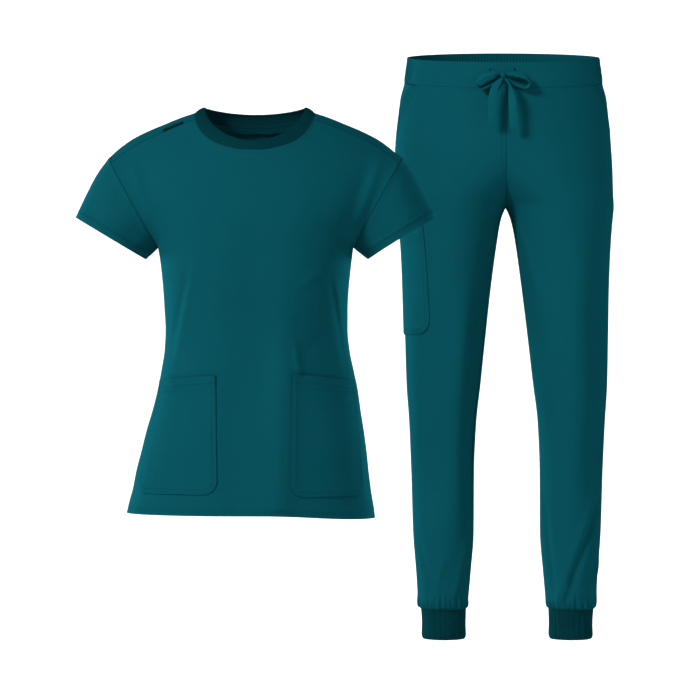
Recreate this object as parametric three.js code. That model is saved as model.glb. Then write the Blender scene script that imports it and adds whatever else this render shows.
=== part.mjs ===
// A two-piece set of medical scrubs: a round-neck top with two patch pockets, and jogger trousers with
// a drawstring. Both are filled out as if worn, hollow, and side by side, with one sleeve in front of
// the hip.
// Millimetres, +Z up, the fronts face -Y. The origin is the middle of the trousers' waist opening.
import * as THREE from "three";

// Cloth
const CLOTH = 1.2; // wall of a single layer of the stretch twill
const BAND = 2.2; // wall of a folded band: neckband, waistband and cuffs
const SEAM_GAP = 0.3; // between two pieces that are sewn together
const LAY_GAP = 0.8; // between a panel and what lies flat on it

// Where the top hangs beside the trousers
const TOP_PLACE = { x: -400, y: -125 }; // of its own middle; its levels are those of the trousers

const { sin, cos, acos, sqrt, abs, min, max, hypot, exp, PI } = Math;
const clamp = (v, low, high) => min(max(v, low), high);
const lerp = (a, b, k) => a + (b - a) * k;
const ease = (a, b, v) => {
  const k = clamp((v - a) / (b - a), 0, 1);
  return k * k * (3 - 2 * k);
};
const spread = (n, from = 0, to = 1) => Array.from({ length: n + 1 }, (_, i) => lerp(from, to, i / n));

// A table with named columns: the first one is the place, and the others are read by a smooth curve that
// never overshoots its rows.
function table(names, rows) {
  const sorted = [...rows].sort((a, b) => a[0] - b[0]);
  const at = sorted.map((r) => r[0]);
  const column = (k) => sorted.map((r) => r[k + 1]);
  const curves = Object.fromEntries(names.slice(1).map((name, k) => [name, smooth(at, column(k))]));
  return { ...curves, from: at[0], to: at[at.length - 1] };
}

function smooth(x, y) {
  const slope = x.slice(1).map((v, i) => (y[i + 1] - y[i]) / (v - x[i]));
  const tangent = x.map((_, i) => {
    if (i === 0) return slope[0];
    if (i === x.length - 1) return slope[i - 1];
    const [a, b] = [slope[i - 1], slope[i]];
    return a * b <= 0 ? 0 : (2 * a * b) / (a + b);
  });
  return (v) => {
    const p = clamp(v, x[0], x[x.length - 1]);
    let i = 0;
    while (i < x.length - 2 && p > x[i + 1]) i++;
    const w = x[i + 1] - x[i];
    const k = (p - x[i]) / w;
    const [k2, k3] = [k * k, k * k * k];
    return (2 * k3 - 3 * k2 + 1) * y[i] + (k3 - 2 * k2 + k) * w * tangent[i]
      + (3 * k2 - 2 * k3) * y[i + 1] + (k3 - k2) * w * tangent[i + 1];
  };
}

// Surface helpers: a surface is a function of two numbers that gives a Vector3.
const V = (x, y, z) => new THREE.Vector3(x, y, z);

// The normal of a surface, turned to face away from the point `inside`.
function normalOf(surface, a, b, inside, step = 1e-3) {
  const da = surface(a + step, b).sub(surface(a - step, b));
  const db = surface(a, b + step * 40).sub(surface(a, b - step * 40));
  const n = da.cross(db).normalize();
  return n.dot(surface(a, b).sub(inside)) < 0 ? n.negate() : n;
}

// One row of a wall: its points on the outer side, their normals and their places along the row.
const rowOf = (places, at) => {
  const made = places.map(at);
  return { along: places, points: made.map((m) => m.point), normals: made.map((m) => m.normal) };
};

// The triangles between neighbouring rows, each corner as a row and a place in it. Where two rows have as
// many points, each four-cornered cell is cut along its shorter diagonal.
function cells(rows) {
  const made = [];
  for (let r = 0; r < rows.length - 1; r++) {
    const [a, b] = [rows[r].points, rows[r + 1].points];
    const [ua, ub] = [rows[r].along, rows[r + 1].along];
    let [i, j] = [0, 0];
    while (i < a.length - 1 || j < b.length - 1) {
      const [endA, endB] = [i === a.length - 1, j === b.length - 1];
      const even = a.length === b.length;
      const behind = even ? i < j : ua[i + 1] - ub[j] <= ub[j + 1] - ua[i];
      const early = even && i === j && !endA && !endB
        ? a[i + 1].distanceTo(b[j]) < b[j + 1].distanceTo(a[i])
        : !endA && (endB || behind);
      made.push(early ? [[r, i], [r, i + 1], [r + 1, j]] : [[r, i], [r + 1, j + 1], [r + 1, j]]);
      if (early) i++;
      else j++;
    }
  }
  return made;
}

// A closed wall of cloth through rows of outer points. Rows may have different numbers of points. A ring's
// first and last points coincide, so it needs no side edges.
function wall(rows, thickness, ring = false) {
  const outer = rows.map((r) => r.points);
  const sink = (r) => r.points.map((p, i) => p.clone().addScaledVector(r.normals[i], -thickness));
  const inner = rows.map(sink);
  const triangles = cells(rows).flatMap((cell) => [
    cell.map(([r, i]) => outer[r][i]),
    [...cell].reverse().map(([r, i]) => inner[r][i]),
  ]);
  const strip = (a, b) => {
    for (let i = 0; i < a.length - 1; i++) {
      triangles.push([a[i], b[i], a[i + 1]], [a[i + 1], b[i], b[i + 1]]);
    }
  };
  strip(outer[0], inner[0]);
  strip(inner[inner.length - 1], outer[outer.length - 1]);
  if (!ring) {
    strip(inner.map((r) => r[0]), outer.map((r) => r[0]));
    strip(outer.map((r) => r[r.length - 1]), inner.map((r) => r[r.length - 1]));
  }
  return solidGeometry(triangles);
}

// Triangles as a geometry whose faces point out.
function solidGeometry(triangles) {
  const volume = triangles.reduce((sum, [a, b, c]) => sum + a.dot(b.clone().cross(c)), 0);
  const facing = volume < 0 ? triangles.map(([a, b, c]) => [a, c, b]) : triangles;
  const geometry = new THREE.BufferGeometry();
  const places = facing.flat().flatMap((p) => p.toArray());
  geometry.setAttribute("position", new THREE.Float32BufferAttribute(places, 3));
  geometry.computeVertexNormals();
  return geometry;
}

// Materials
const cloth = (name, color, roughness) => Object.assign(
  new THREE.MeshStandardMaterial({ color, roughness, metalness: 0 }),
  { name },
);
const twill = cloth("twill", 0x0d525b, 0.8);
const rib = cloth("rib", 0x08424b, 0.9);
const tape = cloth("tape", 0x0e5660, 0.85);
const elastic = cloth("elastic", 0x05262b, 0.7);

const garments = new THREE.Group();
const trousers = new THREE.Group();
const top = new THREE.Group();
top.position.set(TOP_PLACE.x, TOP_PLACE.y, 0);
garments.add(trousers, top);

function piece(group, name, geometry, material) {
  const mesh = new THREE.Mesh(geometry, material);
  mesh.name = name;
  group.add(mesh);
}

// Folds. Each one is a soft ridge (height above 0) or trough (below 0) along a line from one place to
// another on a surface's two coordinates, and it fades in and out along the line.
const foldHeight = (folds, a, b, reach) => folds.reduce((sum, f) => {
  const k = (b - f.b0) / (f.b1 - f.b0);
  if (k <= 0 || k >= 1) return sum;
  const across = (a - lerp(f.a0, f.a1, k)) * reach / f.width;
  const fade = ease(0, f.rise ?? 0.3, k) * ease(0, f.fall ?? 0.3, 1 - k);
  return sum + f.height * fade * exp(-across * across);
}, 0);

// TROUSERS
// Sections of one leg by level. Above the crotch `inner` is below 0: the section would pass the middle
// plane there, and is cut at it, so that the two legs open into one waist.
const WAIST_TOP = 5.5;
const WAIST_SEAM = -35;
const CROTCH = -240;
const HEM_SEAM = -892;
const CUFF_END = -941;
const leg = table(["level", "outer", "inner", "front", "back", "middleY", "tilt", "drift"], [
  [20, 156, -156, 93, 99, 0, 0.178, 0.5],
  [WAIST_TOP, 156, -156, 93, 100, 0, 0.178, 0.5],
  [WAIST_SEAM, 161, -161, 98, 107, 0, 0.178, 0.5],
  [-60, 167.5, -166, 100, 111, 0, 0.165, 0.5],
  [-84, 170.5, -161, 101, 116, 0, 0.15, 0.3],
  [-133, 175.5, -128, 101, 124, 0, 0.09, 0],
  [-182, 177.5, -72, 98, 122, 0, 0.03, 0.8],
  [-220, 177, -20, 95, 115, 0, 0.005, 2.4],
  [CROTCH, 176, 0.2, 92, 109, 0, 0, 4.2],
  [-263, 173.5, 9, 89, 103, 0, 0, 4.5],
  [-296, 170.5, 15, 85, 98, 0, 0, 5],
  [-361, 167.5, 24, 79, 89, -1, 0, 5],
  [-442, 165.5, 33.5, 72, 80, -2, 0, 5.5],
  [-524, 163.5, 42.5, 66, 71, -2, 0, 6],
  [-589, 159.5, 50, 59, 68, 1, 0, 6.5],
  [-671, 156, 53.5, 54, 64, 4, 0, 6.5],
  [-768, 153, 54, 50, 57, 5, 0, 6.5],
  [-834, 148, 59, 47, 51, 4, 0, 6.5],
  [-872, 145.5, 62.5, 45, 47, 3, 0, 6.5],
  [-888, 143.5, 64.5, 42.5, 44, 3, 0, 6.5],
  [HEM_SEAM, 140.5, 67, 38.5, 40, 3, 0, 7],
  [-897, 139.5, 67.5, 37.5, 39, 3, 0, 7],
  [-918, 138.5, 68, 36.5, 38, 3, 0, 7],
  [-934, 139, 67.5, 37, 38.5, 3, 0, 7],
  [CUFF_END, 137.5, 69, 35.5, 37, 3, 0, 7],
]);

// Seams by level, as angles round a leg: 0 is its outer side, a quarter turn the front, half a turn the
// inside.
const seams = table(["level", "outseam", "inseam"], [
  [0, 0.06, 0],
  [-133, 0.08, 0],
  [CROTCH, 0.12, 0],
  [-320, 0.16, 0.18],
  [-524, 0.28, 0.34],
  [-620, 0.38, 0.36],
  [HEM_SEAM, 0.36, 0.36],
]);

// Angles are at `level`, and b runs down the leg.
const legFolds = {
  left: [
    { a0: 0.42, b0: -690, a1: 1.95, b1: -893, width: 11, height: -5.5, rise: 0.3, fall: 0.12 },
    { a0: 0.62, b0: -690, a1: 2.2, b1: -893, width: 13, height: 3, rise: 0.3, fall: 0.12 },
    { a0: 1.3, b0: -250, a1: 1.1, b1: -640, width: 26, height: 2.5 },
  ],
  right: [
    { a0: 1.05, b0: -330, a1: 0.95, b1: -800, width: 22, height: 3 },
    { a0: 2.2, b0: -230, a1: 2.1, b1: -700, width: 20, height: -2.5 },
  ],
};
const GATHERS = 18; // round each ankle, above the cuff
const gatherSize = (level) => 1.7 * ease(-846, -884, level) * ease(HEM_SEAM - 1, -887, level);
const gather = (t, level) => gatherSize(level) * cos(GATHERS * t);

// A point of one leg's outer surface. side is 1 for the wearer's left and -1 for the right.
function legPoint(side, t, level, out = 0) {
  const reach = (leg.front(level) + leg.back(level)) / 2;
  const lists = side > 0 ? legFolds.left : legFolds.right;
  const grow = out + gather(t, level) + foldHeight(lists, t, level, reach);
  const [outer, inner] = [leg.outer(level), leg.inner(level)];
  const across = (outer - inner) / 2 + grow;
  const deep = (sin(t) > 0 ? leg.front(level) : leg.back(level)) + grow;
  const y = leg.middleY(level) - deep * sin(t);
  return V(
    side * ((outer + inner) / 2 + across * cos(t)) + leg.drift(level),
    y,
    level + leg.tilt(level) * y,
  );
}

const legMiddle = (side, level) => V(
  side * (leg.outer(level) + max(leg.inner(level), -leg.outer(level))) / 2, leg.middleY(level), level,
);
const legAt = (side, t, level, out = 0) => ({
  point: legPoint(side, t, level, out),
  normal: normalOf((a, b) => legPoint(side, a, b, out), t, level, legMiddle(side, level)),
});

// The angle at which a section reaches the middle seam, or half a turn below the crotch.
function middleSeam(level) {
  const [outer, inner] = [leg.outer(level), leg.inner(level)];
  const reach = (outer + inner) / 2 - SEAM_GAP / 2;
  return inner < SEAM_GAP / 2 ? acos(clamp(-reach / ((outer - inner) / 2), -1, 1)) : PI;
}

const halfGap = (level) => SEAM_GAP / 2 / leg.front(level); // as an angle at a side seam

// The slanted hip pocket: its mouth cuts off the front panel's upper outer corner.
const MOUTH_TOP = 0.47; // angle at the waist seam
const MOUTH_END = -112; // level where it meets the outseam
const mouth = (level) => {
  const down = clamp((WAIST_SEAM - level) / (WAIST_SEAM - MOUTH_END), 0, 1);
  return lerp(MOUTH_TOP, seams.outseam(MOUTH_END), down);
};
const frontEdge = (level) => max(mouth(max(level, MOUTH_END)), seams.outseam(level));

const PANEL_TOP = WAIST_SEAM - SEAM_GAP / 2;
const legLevels = [
  PANEL_TOP, -56, -80, -112, -150, -187, -214, -232, CROTCH, -258, -300, -370, -450, -530, -610, -690,
  -760, -835,
];
const gatherLevels = [-862, -884, HEM_SEAM + SEAM_GAP / 2];

function legPanel(side, columns, gatherColumns, from, to) {
  const place = (u, level) => legAt(side, lerp(from(level), to(level), u), level);
  const row = (n) => (level) => rowOf(spread(n), (u) => place(u, level));
  return wall([...legLevels.map(row(columns)), ...gatherLevels.map(row(gatherColumns))], CLOTH);
}

const sides = [["left", 1], ["right", -1]];
const inseam = (face, level) => (level > CROTCH ? middleSeam(level) : PI - face * seams.inseam(level));
const inseamFront = (level) => inseam(1, level) - halfGap(level);
const inseamBack = (level) => -inseam(-1, level) + halfGap(level);
const outseamFront = (level) => frontEdge(level) + halfGap(level);
const outseamBack = (level) => seams.outseam(level) - halfGap(level);
for (const [name, side] of sides) {
  piece(trousers, `leg_front_${name}`, legPanel(side, 14, 28, outseamFront, inseamFront), twill);
  piece(trousers, `leg_back_${name}`, legPanel(side, 13, 34, outseamBack, inseamBack), twill);

  // The pocket's facing fills the corner and runs on behind the mouth.
  const behind = CLOTH + 2;
  const sunk = (t, level) => -behind * ease(mouth(level) - 0.15, mouth(level) - 0.05, t);
  const facing = spread(4, PANEL_TOP - 0.8, MOUTH_END + 14).map((level) => rowOf(spread(8), (u) => {
    const t = lerp(seams.outseam(level) + halfGap(level), mouth(level) + 0.14, u);
    return legAt(side, t, level, sunk(t, level));
  }));
  piece(trousers, `hip_pocket_${name}`, wall(facing, CLOTH), twill);

  const cuffLevels = [HEM_SEAM - SEAM_GAP / 2, -899, -934, CUFF_END];
  const cuff = cuffLevels.map((level) => rowOf(spread(20, 0, 2 * PI), (t) => legAt(side, t, level)));
  piece(trousers, `cuff_${name}`, wall(cuff, BAND, true), rib);
}

// The cargo pocket lies over the outseam of the right leg.
const CARGO = { top: -270, bottom: -446, round: 26, behind: -0.72, inFrontTop: 0.94, inFrontEnd: 1.16 };
const cargoHeight = CARGO.top - CARGO.bottom;
const cargoRows = [0, 12, 55, 105, cargoHeight - CARGO.round, 165, cargoHeight];
const roundedIn = (fromEnd, radius) => (
  fromEnd < radius ? radius - sqrt(radius ** 2 - (radius - fromEnd) ** 2) : 0
);
const cargo = cargoRows.map((down) => {
  const level = CARGO.top - down;
  const inset = roundedIn(level - CARGO.bottom, CARGO.round) / leg.front(level);
  const forward = lerp(CARGO.inFrontTop, CARGO.inFrontEnd, down / cargoHeight);
  return rowOf(spread(12), (u) => {
    const mouthLift = 1.6 * exp(-((down / 18) ** 2)) * sin(PI * u);
    const t = lerp(CARGO.behind + inset, forward - inset, u);
    return legAt(-1, t, level, CLOTH + LAY_GAP + 0.5 + mouthLift);
  });
});
piece(trousers, "cargo_pocket", wall(cargo, CLOTH), twill);

// The waistband: a flat front, and a gathered elastic back that reaches round to the sides.
const BAND_END = 0.33; // angle from the side where the flat front stops
const BACK_GATHERS = 34;
const bandLevels = [[WAIST_SEAM + SEAM_GAP / 2, 0.1], [-15, 1], [WAIST_TOP, 0.1]];
const bandEndGap = halfGap(0);
const frontBand = bandLevels.map(([level, out]) => rowOf(
  spread(22, BAND_END + bandEndGap, PI - BAND_END - bandEndGap), (t) => legAt(1, t, level, out),
));
piece(trousers, "waistband_front", wall(frontBand, BAND), twill);
const backBand = bandLevels.map(([level, out]) => rowOf(
  spread(BACK_GATHERS * 3, 0, 1), (u) => {
    const past = u > 0.5 ? 4 * BAND_END * (u - 0.5) : 0;
    const t = lerp(BAND_END - bandEndGap, BAND_END + bandEndGap - PI, u) - past;
    const calm = ease(0, 0.01, u) * ease(0, 0.01, 1 - u);
    return legAt(1, t, level, out + calm * 1.3 * cos(2 * PI * BACK_GATHERS * u));
  },
));
piece(trousers, "waistband_back", wall(backBand, BAND), twill);

// The drawstring comes out of two buttonholes and is tied in a bow. Its tape is broad and flat, and bunched
// up at the knot. Columns: x and z from the knot, how far it stands off the band, how far its width is turned
// from lying in view (0) to edge on (90), and the width.
const TAPE_THICK = 1.6;
const KNOT = { x: -6, z: -33, off: 11, size: [5.2, 5.4, 6.8] };
const bandFront = legPoint(1, PI / 2, -18, 0.8).y;
const bow = {
  drawstring_stub_right: [
    [-20.5, 5.8, -0.2, 0, 5], [-13, 3.6, 3.5, 15, 5], [-5.7, 1.2, 8.3, 30, 4],
  ],
  drawstring_stub_left: [
    [19, 6.6, 0.3, 0, 5], [13, 4, 3.5, -15, 5], [5.7, 1.2, 8.3, -30, 4],
  ],
  bow_loop_right: [
    [-6, 1.5, 12, 50, 5], [-13, 1, 15, 30, 10], [-26, -4, 17, 15, 12], [-37, -10, 16, 20, 12],
    [-41, -17, 13, 75, 12], [-37, -22, 9.5, 130, 12], [-28, -19, 8, 150, 12], [-17, -13, 7.5, 140, 10],
    [-7, -3.5, 8, 130, 5],
  ],
  bow_loop_left: [
    [6, 1.5, 12, 130, 5], [14, 1, 15, 150, 10], [27, -4, 17, 165, 12], [38, -9, 16, 160, 12],
    [42.5, -15, 13, 105, 12], [38, -20, 9.5, 50, 12], [28, -17, 8, 30, 12], [17, -12, 7.5, 40, 10],
    [7, -3.5, 8, 50, 5],
  ],
  drawstring_end_right: [
    [-2.6, -6.8, 13, 30, 5], [-8, -13, 17.5, 20, 9], [-14, -22, 20.5, 10, 12], [-17.5, -36, 21, 3, 12],
    [-18.5, -54, 19, 0, 12], [-18, -78, 16, 0, 12],
  ],
  drawstring_end_left: [
    [3, -6.6, 12, 60, 5], [8, -14, 17, 80, 9], [11, -24, 19.5, 60, 12], [13.5, -40, 19.5, 30, 12],
    [15, -60, 18, 8, 12], [16, -86, 15, 5, 12],
  ],
};

function tapeSolid(rows) {
  const places = rows.map(([x, z, off]) => V(KNOT.x + x, bandFront - off, KNOT.z + z));
  const path = new THREE.CatmullRomCurve3(places);
  const steps = 4 * (rows.length - 1);
  return wall(spread(steps).map((k) => {
    const place = k * (rows.length - 1);
    const i = min(Math.floor(place), rows.length - 2);
    const between = (column) => lerp(rows[i][column], rows[i + 1][column], place - i);
    const point = path.getPoint(k);
    const along = path.getTangent(k);
    const across = V(0, -1, 0).cross(along).normalize().applyAxisAngle(along, between(3) * PI / 180);
    const normal = along.clone().cross(across);
    point.addScaledVector(normal, TAPE_THICK / 2);
    const at = (w) => point.clone().addScaledVector(across, w * between(4) / 2);
    return rowOf([-1, 0, 1], (w) => ({ point: at(w), normal }));
  }), TAPE_THICK);
}
const knot = new THREE.SphereGeometry(1, 12, 8);
knot.scale(...KNOT.size);
knot.translate(KNOT.x, bandFront - KNOT.off, KNOT.z - 1);
piece(trousers, "bow_knot", knot, tape);
for (const [name, rows] of Object.entries(bow)) piece(trousers, name, tapeSolid(rows), tape);

// TOP
// Sections of the body by level, below the armholes. The half widths are from the middle to each side.
const HEM = -728;
const UNDERARM = -309;
const body = table(["level", "right", "left", "front", "back", "round"], [
  [UNDERARM, 153, 156, 118, 112, 2.3],
  [-328, 150, 153.5, 118, 111, 2.3],
  [-344, 148, 151.7, 118, 109, 2.25],
  [-376, 145, 148.5, 116, 104, 2.2],
  [-408, 143, 147, 112, 99, 2.15],
  [-439, 141.5, 147, 109, 96, 2.1],
  [-471, 143, 150, 108, 96, 2.1],
  [-503, 148, 156.5, 109, 99, 2.1],
  [-534, 154, 163, 111, 103, 2.1],
  [-566, 162, 167.5, 113, 107, 2.1],
  [-598, 171.5, 172.5, 115, 110, 2.1],
  [-630, 179.5, 177, 116, 112, 2.1],
  [-661, 187.5, 180.5, 117, 113, 2.1],
  [-693, 194, 185, 117, 113, 2.1],
  [-709, 198.5, 188, 117, 113, 2.1],
  [HEM, 203, 190.5, 117, 113, 2.1],
]);
// Above the underarm the sides are the two armholes, straight in front view, and the depths go on
// falling.
const upper = table(["level", "front", "back"], [
  [UNDERARM, 118, 112],
  [-270, 116, 114],
  [-230, 108, 113],
  [-190, 97, 108],
  [-150, 87, 99],
  [-110, 80, 91],
  [-60, 76, 86],
]);
const SHOULDER = { right: -231, left: 234, level: -166.5 }; // ends of the shoulder ridge
const ridge = table(["x", "level"], [
  [0, -74],
  [40, -79],
  [70, -88],
  [96, -96],
  [117, -103],
  [143, -113.6],
  [168, -124],
  [193, -136.6],
  [206, -145.3],
  [219, -155.6],
  [231, -166.5],
  [260, -190],
]);
const SHOULDER_ROUND = 130; // how far below the ridge the shoulder is still rounding over
const ARMHOLE_DEPTH = 62; // half of its width from front to back

// One armhole as a line in front view, with its middle, its direction and its half length.
function armholeOf(side) {
  const low = { x: side > 0 ? body.left(UNDERARM) : -body.right(UNDERARM), z: UNDERARM };
  const high = { x: side > 0 ? SHOULDER.left : SHOULDER.right, z: SHOULDER.level };
  const half = hypot(high.x - low.x, high.z - low.z) / 2;
  return {
    low, high, half,
    middle: { x: (low.x + high.x) / 2, z: (low.z + high.z) / 2 },
    dir: { x: (high.x - low.x) / 2 / half, z: (high.z - low.z) / 2 / half },
  };
}
const armhole = { 1: armholeOf(1), "-1": armholeOf(-1) };
const armholeX = (side, level) => {
  const { low, high } = armhole[side];
  return lerp(low.x, high.x, clamp((level - low.z) / (high.z - low.z), 0, 1));
};

// Soft folds on the body, on the coordinates x and level of the front (first list) and the back (second).
const bodyFolds = [
  [
    { x0: -196, z0: -170, x1: -148, z1: -330, width: 10, height: 4 },
    { x0: 198, z0: -172, x1: 160, z1: -325, width: 10, height: 4 },
    { x0: -102, z0: -350, x1: -136, z1: -560, width: 14, height: 5 },
    { x0: 108, z0: -370, x1: 150, z1: -560, width: 14, height: 5 },
    { x0: 60, z0: -420, x1: 72, z1: -540, width: 16, height: -3 },
    { x0: -40, z0: -520, x1: -20, z1: -760, width: 34, height: 4 },
    { x0: 40, z0: -540, x1: 30, z1: -760, width: 26, height: -4 },
  ],
  [
    { x0: -120, z0: -330, x1: -90, z1: -600, width: 16, height: 5 },
    { x0: 118, z0: -360, x1: 80, z1: -620, width: 16, height: 5 },
    { x0: 0, z0: -350, x1: 14, z1: -640, width: 24, height: -5 },
    { x0: -60, z0: -540, x1: -70, z1: -760, width: 26, height: 4 },
    { x0: 90, z0: -540, x1: 100, z1: -760, width: 28, height: 4 },
  ],
];
const bodyFold = (face, x, z) => bodyFolds[face > 0 ? 0 : 1].reduce((sum, f) => {
  const k = (z - f.z0) / (f.z1 - f.z0);
  if (k <= 0 || k >= 1) return sum;
  const off = (x - lerp(f.x0, f.x1, k)) / f.width;
  return sum + f.height * ease(0, 0.3, k) * ease(0, 0.3, 1 - k) * exp(-off * off);
}, 0);

// A section of the body by angle: 0 is the wearer's right side seam, half a turn the left one.
const SIDE_GAP = 0.35;
function sectionPoint(face, angle, z, out = 0) {
  const [right, left, n] = [body.right(z) + out, body.left(z) + out, body.round(z)];
  const c = -cos(angle);
  const x = (left - right) / 2 + ((left + right) / 2) * Math.sign(c) * abs(c) ** (2 / n);
  const deep = (face > 0 ? body.front(z) : body.back(z)) + out + bodyFold(face, x, z);
  return V(x, -face * (SIDE_GAP / 2 + deep * max(0, sin(angle)) ** (2 / n)), z);
}
function sectionAt(face, angle, z, out = 0) {
  const [from, to] = [max(0, angle - 0.01), min(PI, angle + 0.01)];
  const a = sectionPoint(face, to, z, out).sub(sectionPoint(face, from, z, out));
  const b = sectionPoint(face, angle, z + 1, out).sub(sectionPoint(face, angle, z - 1, out));
  const point = sectionPoint(face, angle, z, out);
  const normal = a.cross(b).normalize();
  if (normal.x * point.x + normal.y * point.y < 0) normal.negate();
  if (sin(angle) < 1e-6) normal.setY(0).normalize();
  return { point, normal };
}

// How far the body stands in front of (face 1) or behind (face -1) its middle plane, above the underarm.
function bodyDepth(face, x, z) {
  const side = x < 0 ? -1 : 1;
  const k = clamp(abs(x) / abs(armholeX(side, z)), 0, 1);
  const deep = (face > 0 ? upper.front(z) : upper.back(z)) + bodyFold(face, x, z);
  const drop = clamp((ridge.level(abs(x)) - z) / SHOULDER_ROUND, 0, 1);
  const torso = deep * (1 - k ** 2.3) ** (1 / 2.3) * sqrt(1 - (1 - drop) ** 2);
  const { middle, dir, half } = armhole[side];
  const along = ((x - middle.x) * dir.x + (z - middle.z) * dir.z) / half;
  const away = abs((x - middle.x) * dir.z - (z - middle.z) * dir.x);
  const arm = ARMHOLE_DEPTH * sqrt(max(0, 1 - along * along)) * max(0, 1 - (away / 90) ** 2);
  return (torso ** 5 + arm ** 5) ** 0.2;
}

// A point of the upper body by x and by how it lies to the shoulder ridge: `over` squared is the distance
// below the ridge, on the front where `over` is positive and on the back where it is negative.
function overPoint(x, over) {
  const z = ridge.level(abs(x)) - over * over;
  const face = over >= 0 ? 1 : -1;
  return V(x, -face * bodyDepth(face, x, z), z);
}
function overAt(x, over, out = 0) {
  const [dx, dv] = [0.6, 0.03];
  const a = overPoint(x + dx, over).sub(overPoint(x - dx, over));
  const b = overPoint(x, over + dv).sub(overPoint(x, over - dv));
  const normal = a.cross(b).normalize().negate();
  return { point: overPoint(x, over).addScaledVector(normal, out), normal };
}
const overOf = (face, x, z) => face * sqrt(max(0, ridge.level(abs(x)) - z));

// The neckline seam, by angle: 0 on the wearer's left shoulder, a quarter turn at the front, three at
// the back.
const NECK = { half: 95, frontDrop: 9.2, backDrop: 6 };
const neckline = (a) => {
  const s = sin(a);
  return [NECK.half * cos(a), s > 0 ? NECK.frontDrop * s ** 0.6 : -NECK.backDrop * abs(s)];
};
const SEAM_OVER = 3.6; // the shoulder seam lies this far in front of the ridge
const NECK_CORNER = Math.asin((SEAM_OVER / NECK.frontDrop) ** (1 / 0.6));
const slowEnds = (k, by) => k - by * sin(2 * PI * k) / (2 * PI);
const neckAngles = {
  1: spread(8).map((k) => lerp(PI - NECK_CORNER, NECK_CORNER, slowEnds(k, 0.4))),
  "-1": spread(10).map((k) => lerp(PI - NECK_CORNER, 2 * PI + NECK_CORNER, slowEnds(k, 0.8))),
};

// Round an armhole by angle: 0 at its top, half a turn at the underarm, positive on the front.
const ARM_CORNER = 0.56; // where the shoulder seam meets it
const armAngles = (face) => spread(face > 0 ? 9 : 11).map((v) => lerp(face * PI, ARM_CORNER, v));
function armRing(side, angle, out = 0) {
  const { middle, dir, half } = armhole[side];
  const [c, s] = [cos(angle), sin(angle)];
  const point = V(middle.x + dir.x * half * c, -ARMHOLE_DEPTH * s, middle.z + dir.z * half * c);
  const normal = V(dir.x * c / half, -s / ARMHOLE_DEPTH, dir.z * c / half).normalize();
  return { point: point.addScaledVector(normal, out), normal };
}

// A body panel. Below the underarm its rows are sections; above, they run between the armholes and are
// drawn up to the shoulder seams and the neckline.
const bodyLevels = [
  HEM, -712, -680, -640, -600, -560, -520, -480, -440, -400, -360, -330, UNDERARM,
];
// The hem hangs a little lower on the wearer's left.
function dropped({ point, normal }) {
  const drop = 8 * ease(0.1, 1, point.x / 190) * ease(-600, HEM, point.z);
  return { point: point.setZ(point.z - drop), normal };
}

function bodyPanel(face) {
  const neck = neckAngles[face];
  const shoulderSteps = 5;
  const [neckFrom, neckTo] = [0.27, 0.73];
  const columns = [
    ...spread(shoulderSteps, 0, neckFrom).slice(0, -1),
    ...spread(neck.length - 1, neckFrom, neckTo),
    ...spread(shoulderSteps, neckTo, 1).slice(1),
  ];
  const low = bodyLevels.map((z) => rowOf(columns, (u) => dropped(sectionAt(face, PI * u, z))));

  const bottom = (u) => {
    const p = sectionPoint(face, PI * u, UNDERARM);
    return [p.x, overOf(face, p.x, UNDERARM)];
  };
  const armCorner = (side) => {
    const { x, z } = armRing(side, ARM_CORNER).point;
    return [x, overOf(1, x, z)];
  };
  const seamSide = face * 0.02;
  const topEdge = (u, i) => {
    if (i >= shoulderSteps && i < shoulderSteps + neck.length) return neckline(neck[i - shoulderSteps]);
    const side = u < 0.5 ? -1 : 1;
    const k = side < 0 ? u / neckFrom : (1 - u) / (1 - neckTo);
    const [outer, inner] = [armCorner(side), neckline(side > 0 ? NECK_CORNER : PI - NECK_CORNER)];
    return [0, 1].map((j) => lerp(outer[j], inner[j], k) + j * seamSide);
  };
  const ends = [0, 1].map((u) => [bottom(u), armCorner(u ? 1 : -1)]);
  const high = armAngles(face).slice(1).map((angle, row) => {
    const v = (row + 1) / (armAngles(face).length - 1);
    const edges = [-1, 1].map((side) => {
      const { x, z } = armRing(side, angle).point;
      return [x, overOf(angle >= 0 ? 1 : -1, x, z)];
    });
    const made = columns.map((u, i) => {
      if (u === 0 || u === 1) return armRing(u === 0 ? -1 : 1, angle + face * 0.002 * (v === 1));
      const [B, T] = [bottom(u), topEdge(u, i)];
      const [x, over] = [0, 1].map((j) => lerp(B[j], T[j], v)
        + (1 - u) ** 3 * (edges[0][j] - lerp(ends[0][0][j], ends[0][1][j], v))
        + u ** 3 * (edges[1][j] - lerp(ends[1][0][j], ends[1][1][j], v)));
      return overAt(x, over);
    });
    return { along: columns, points: made.map((m) => m.point), normals: made.map((m) => m.normal) };
  });
  return wall([...low, ...high], CLOTH);
}
piece(top, "top_front", bodyPanel(1), twill);
piece(top, "top_back", bodyPanel(-1), twill);

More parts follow.
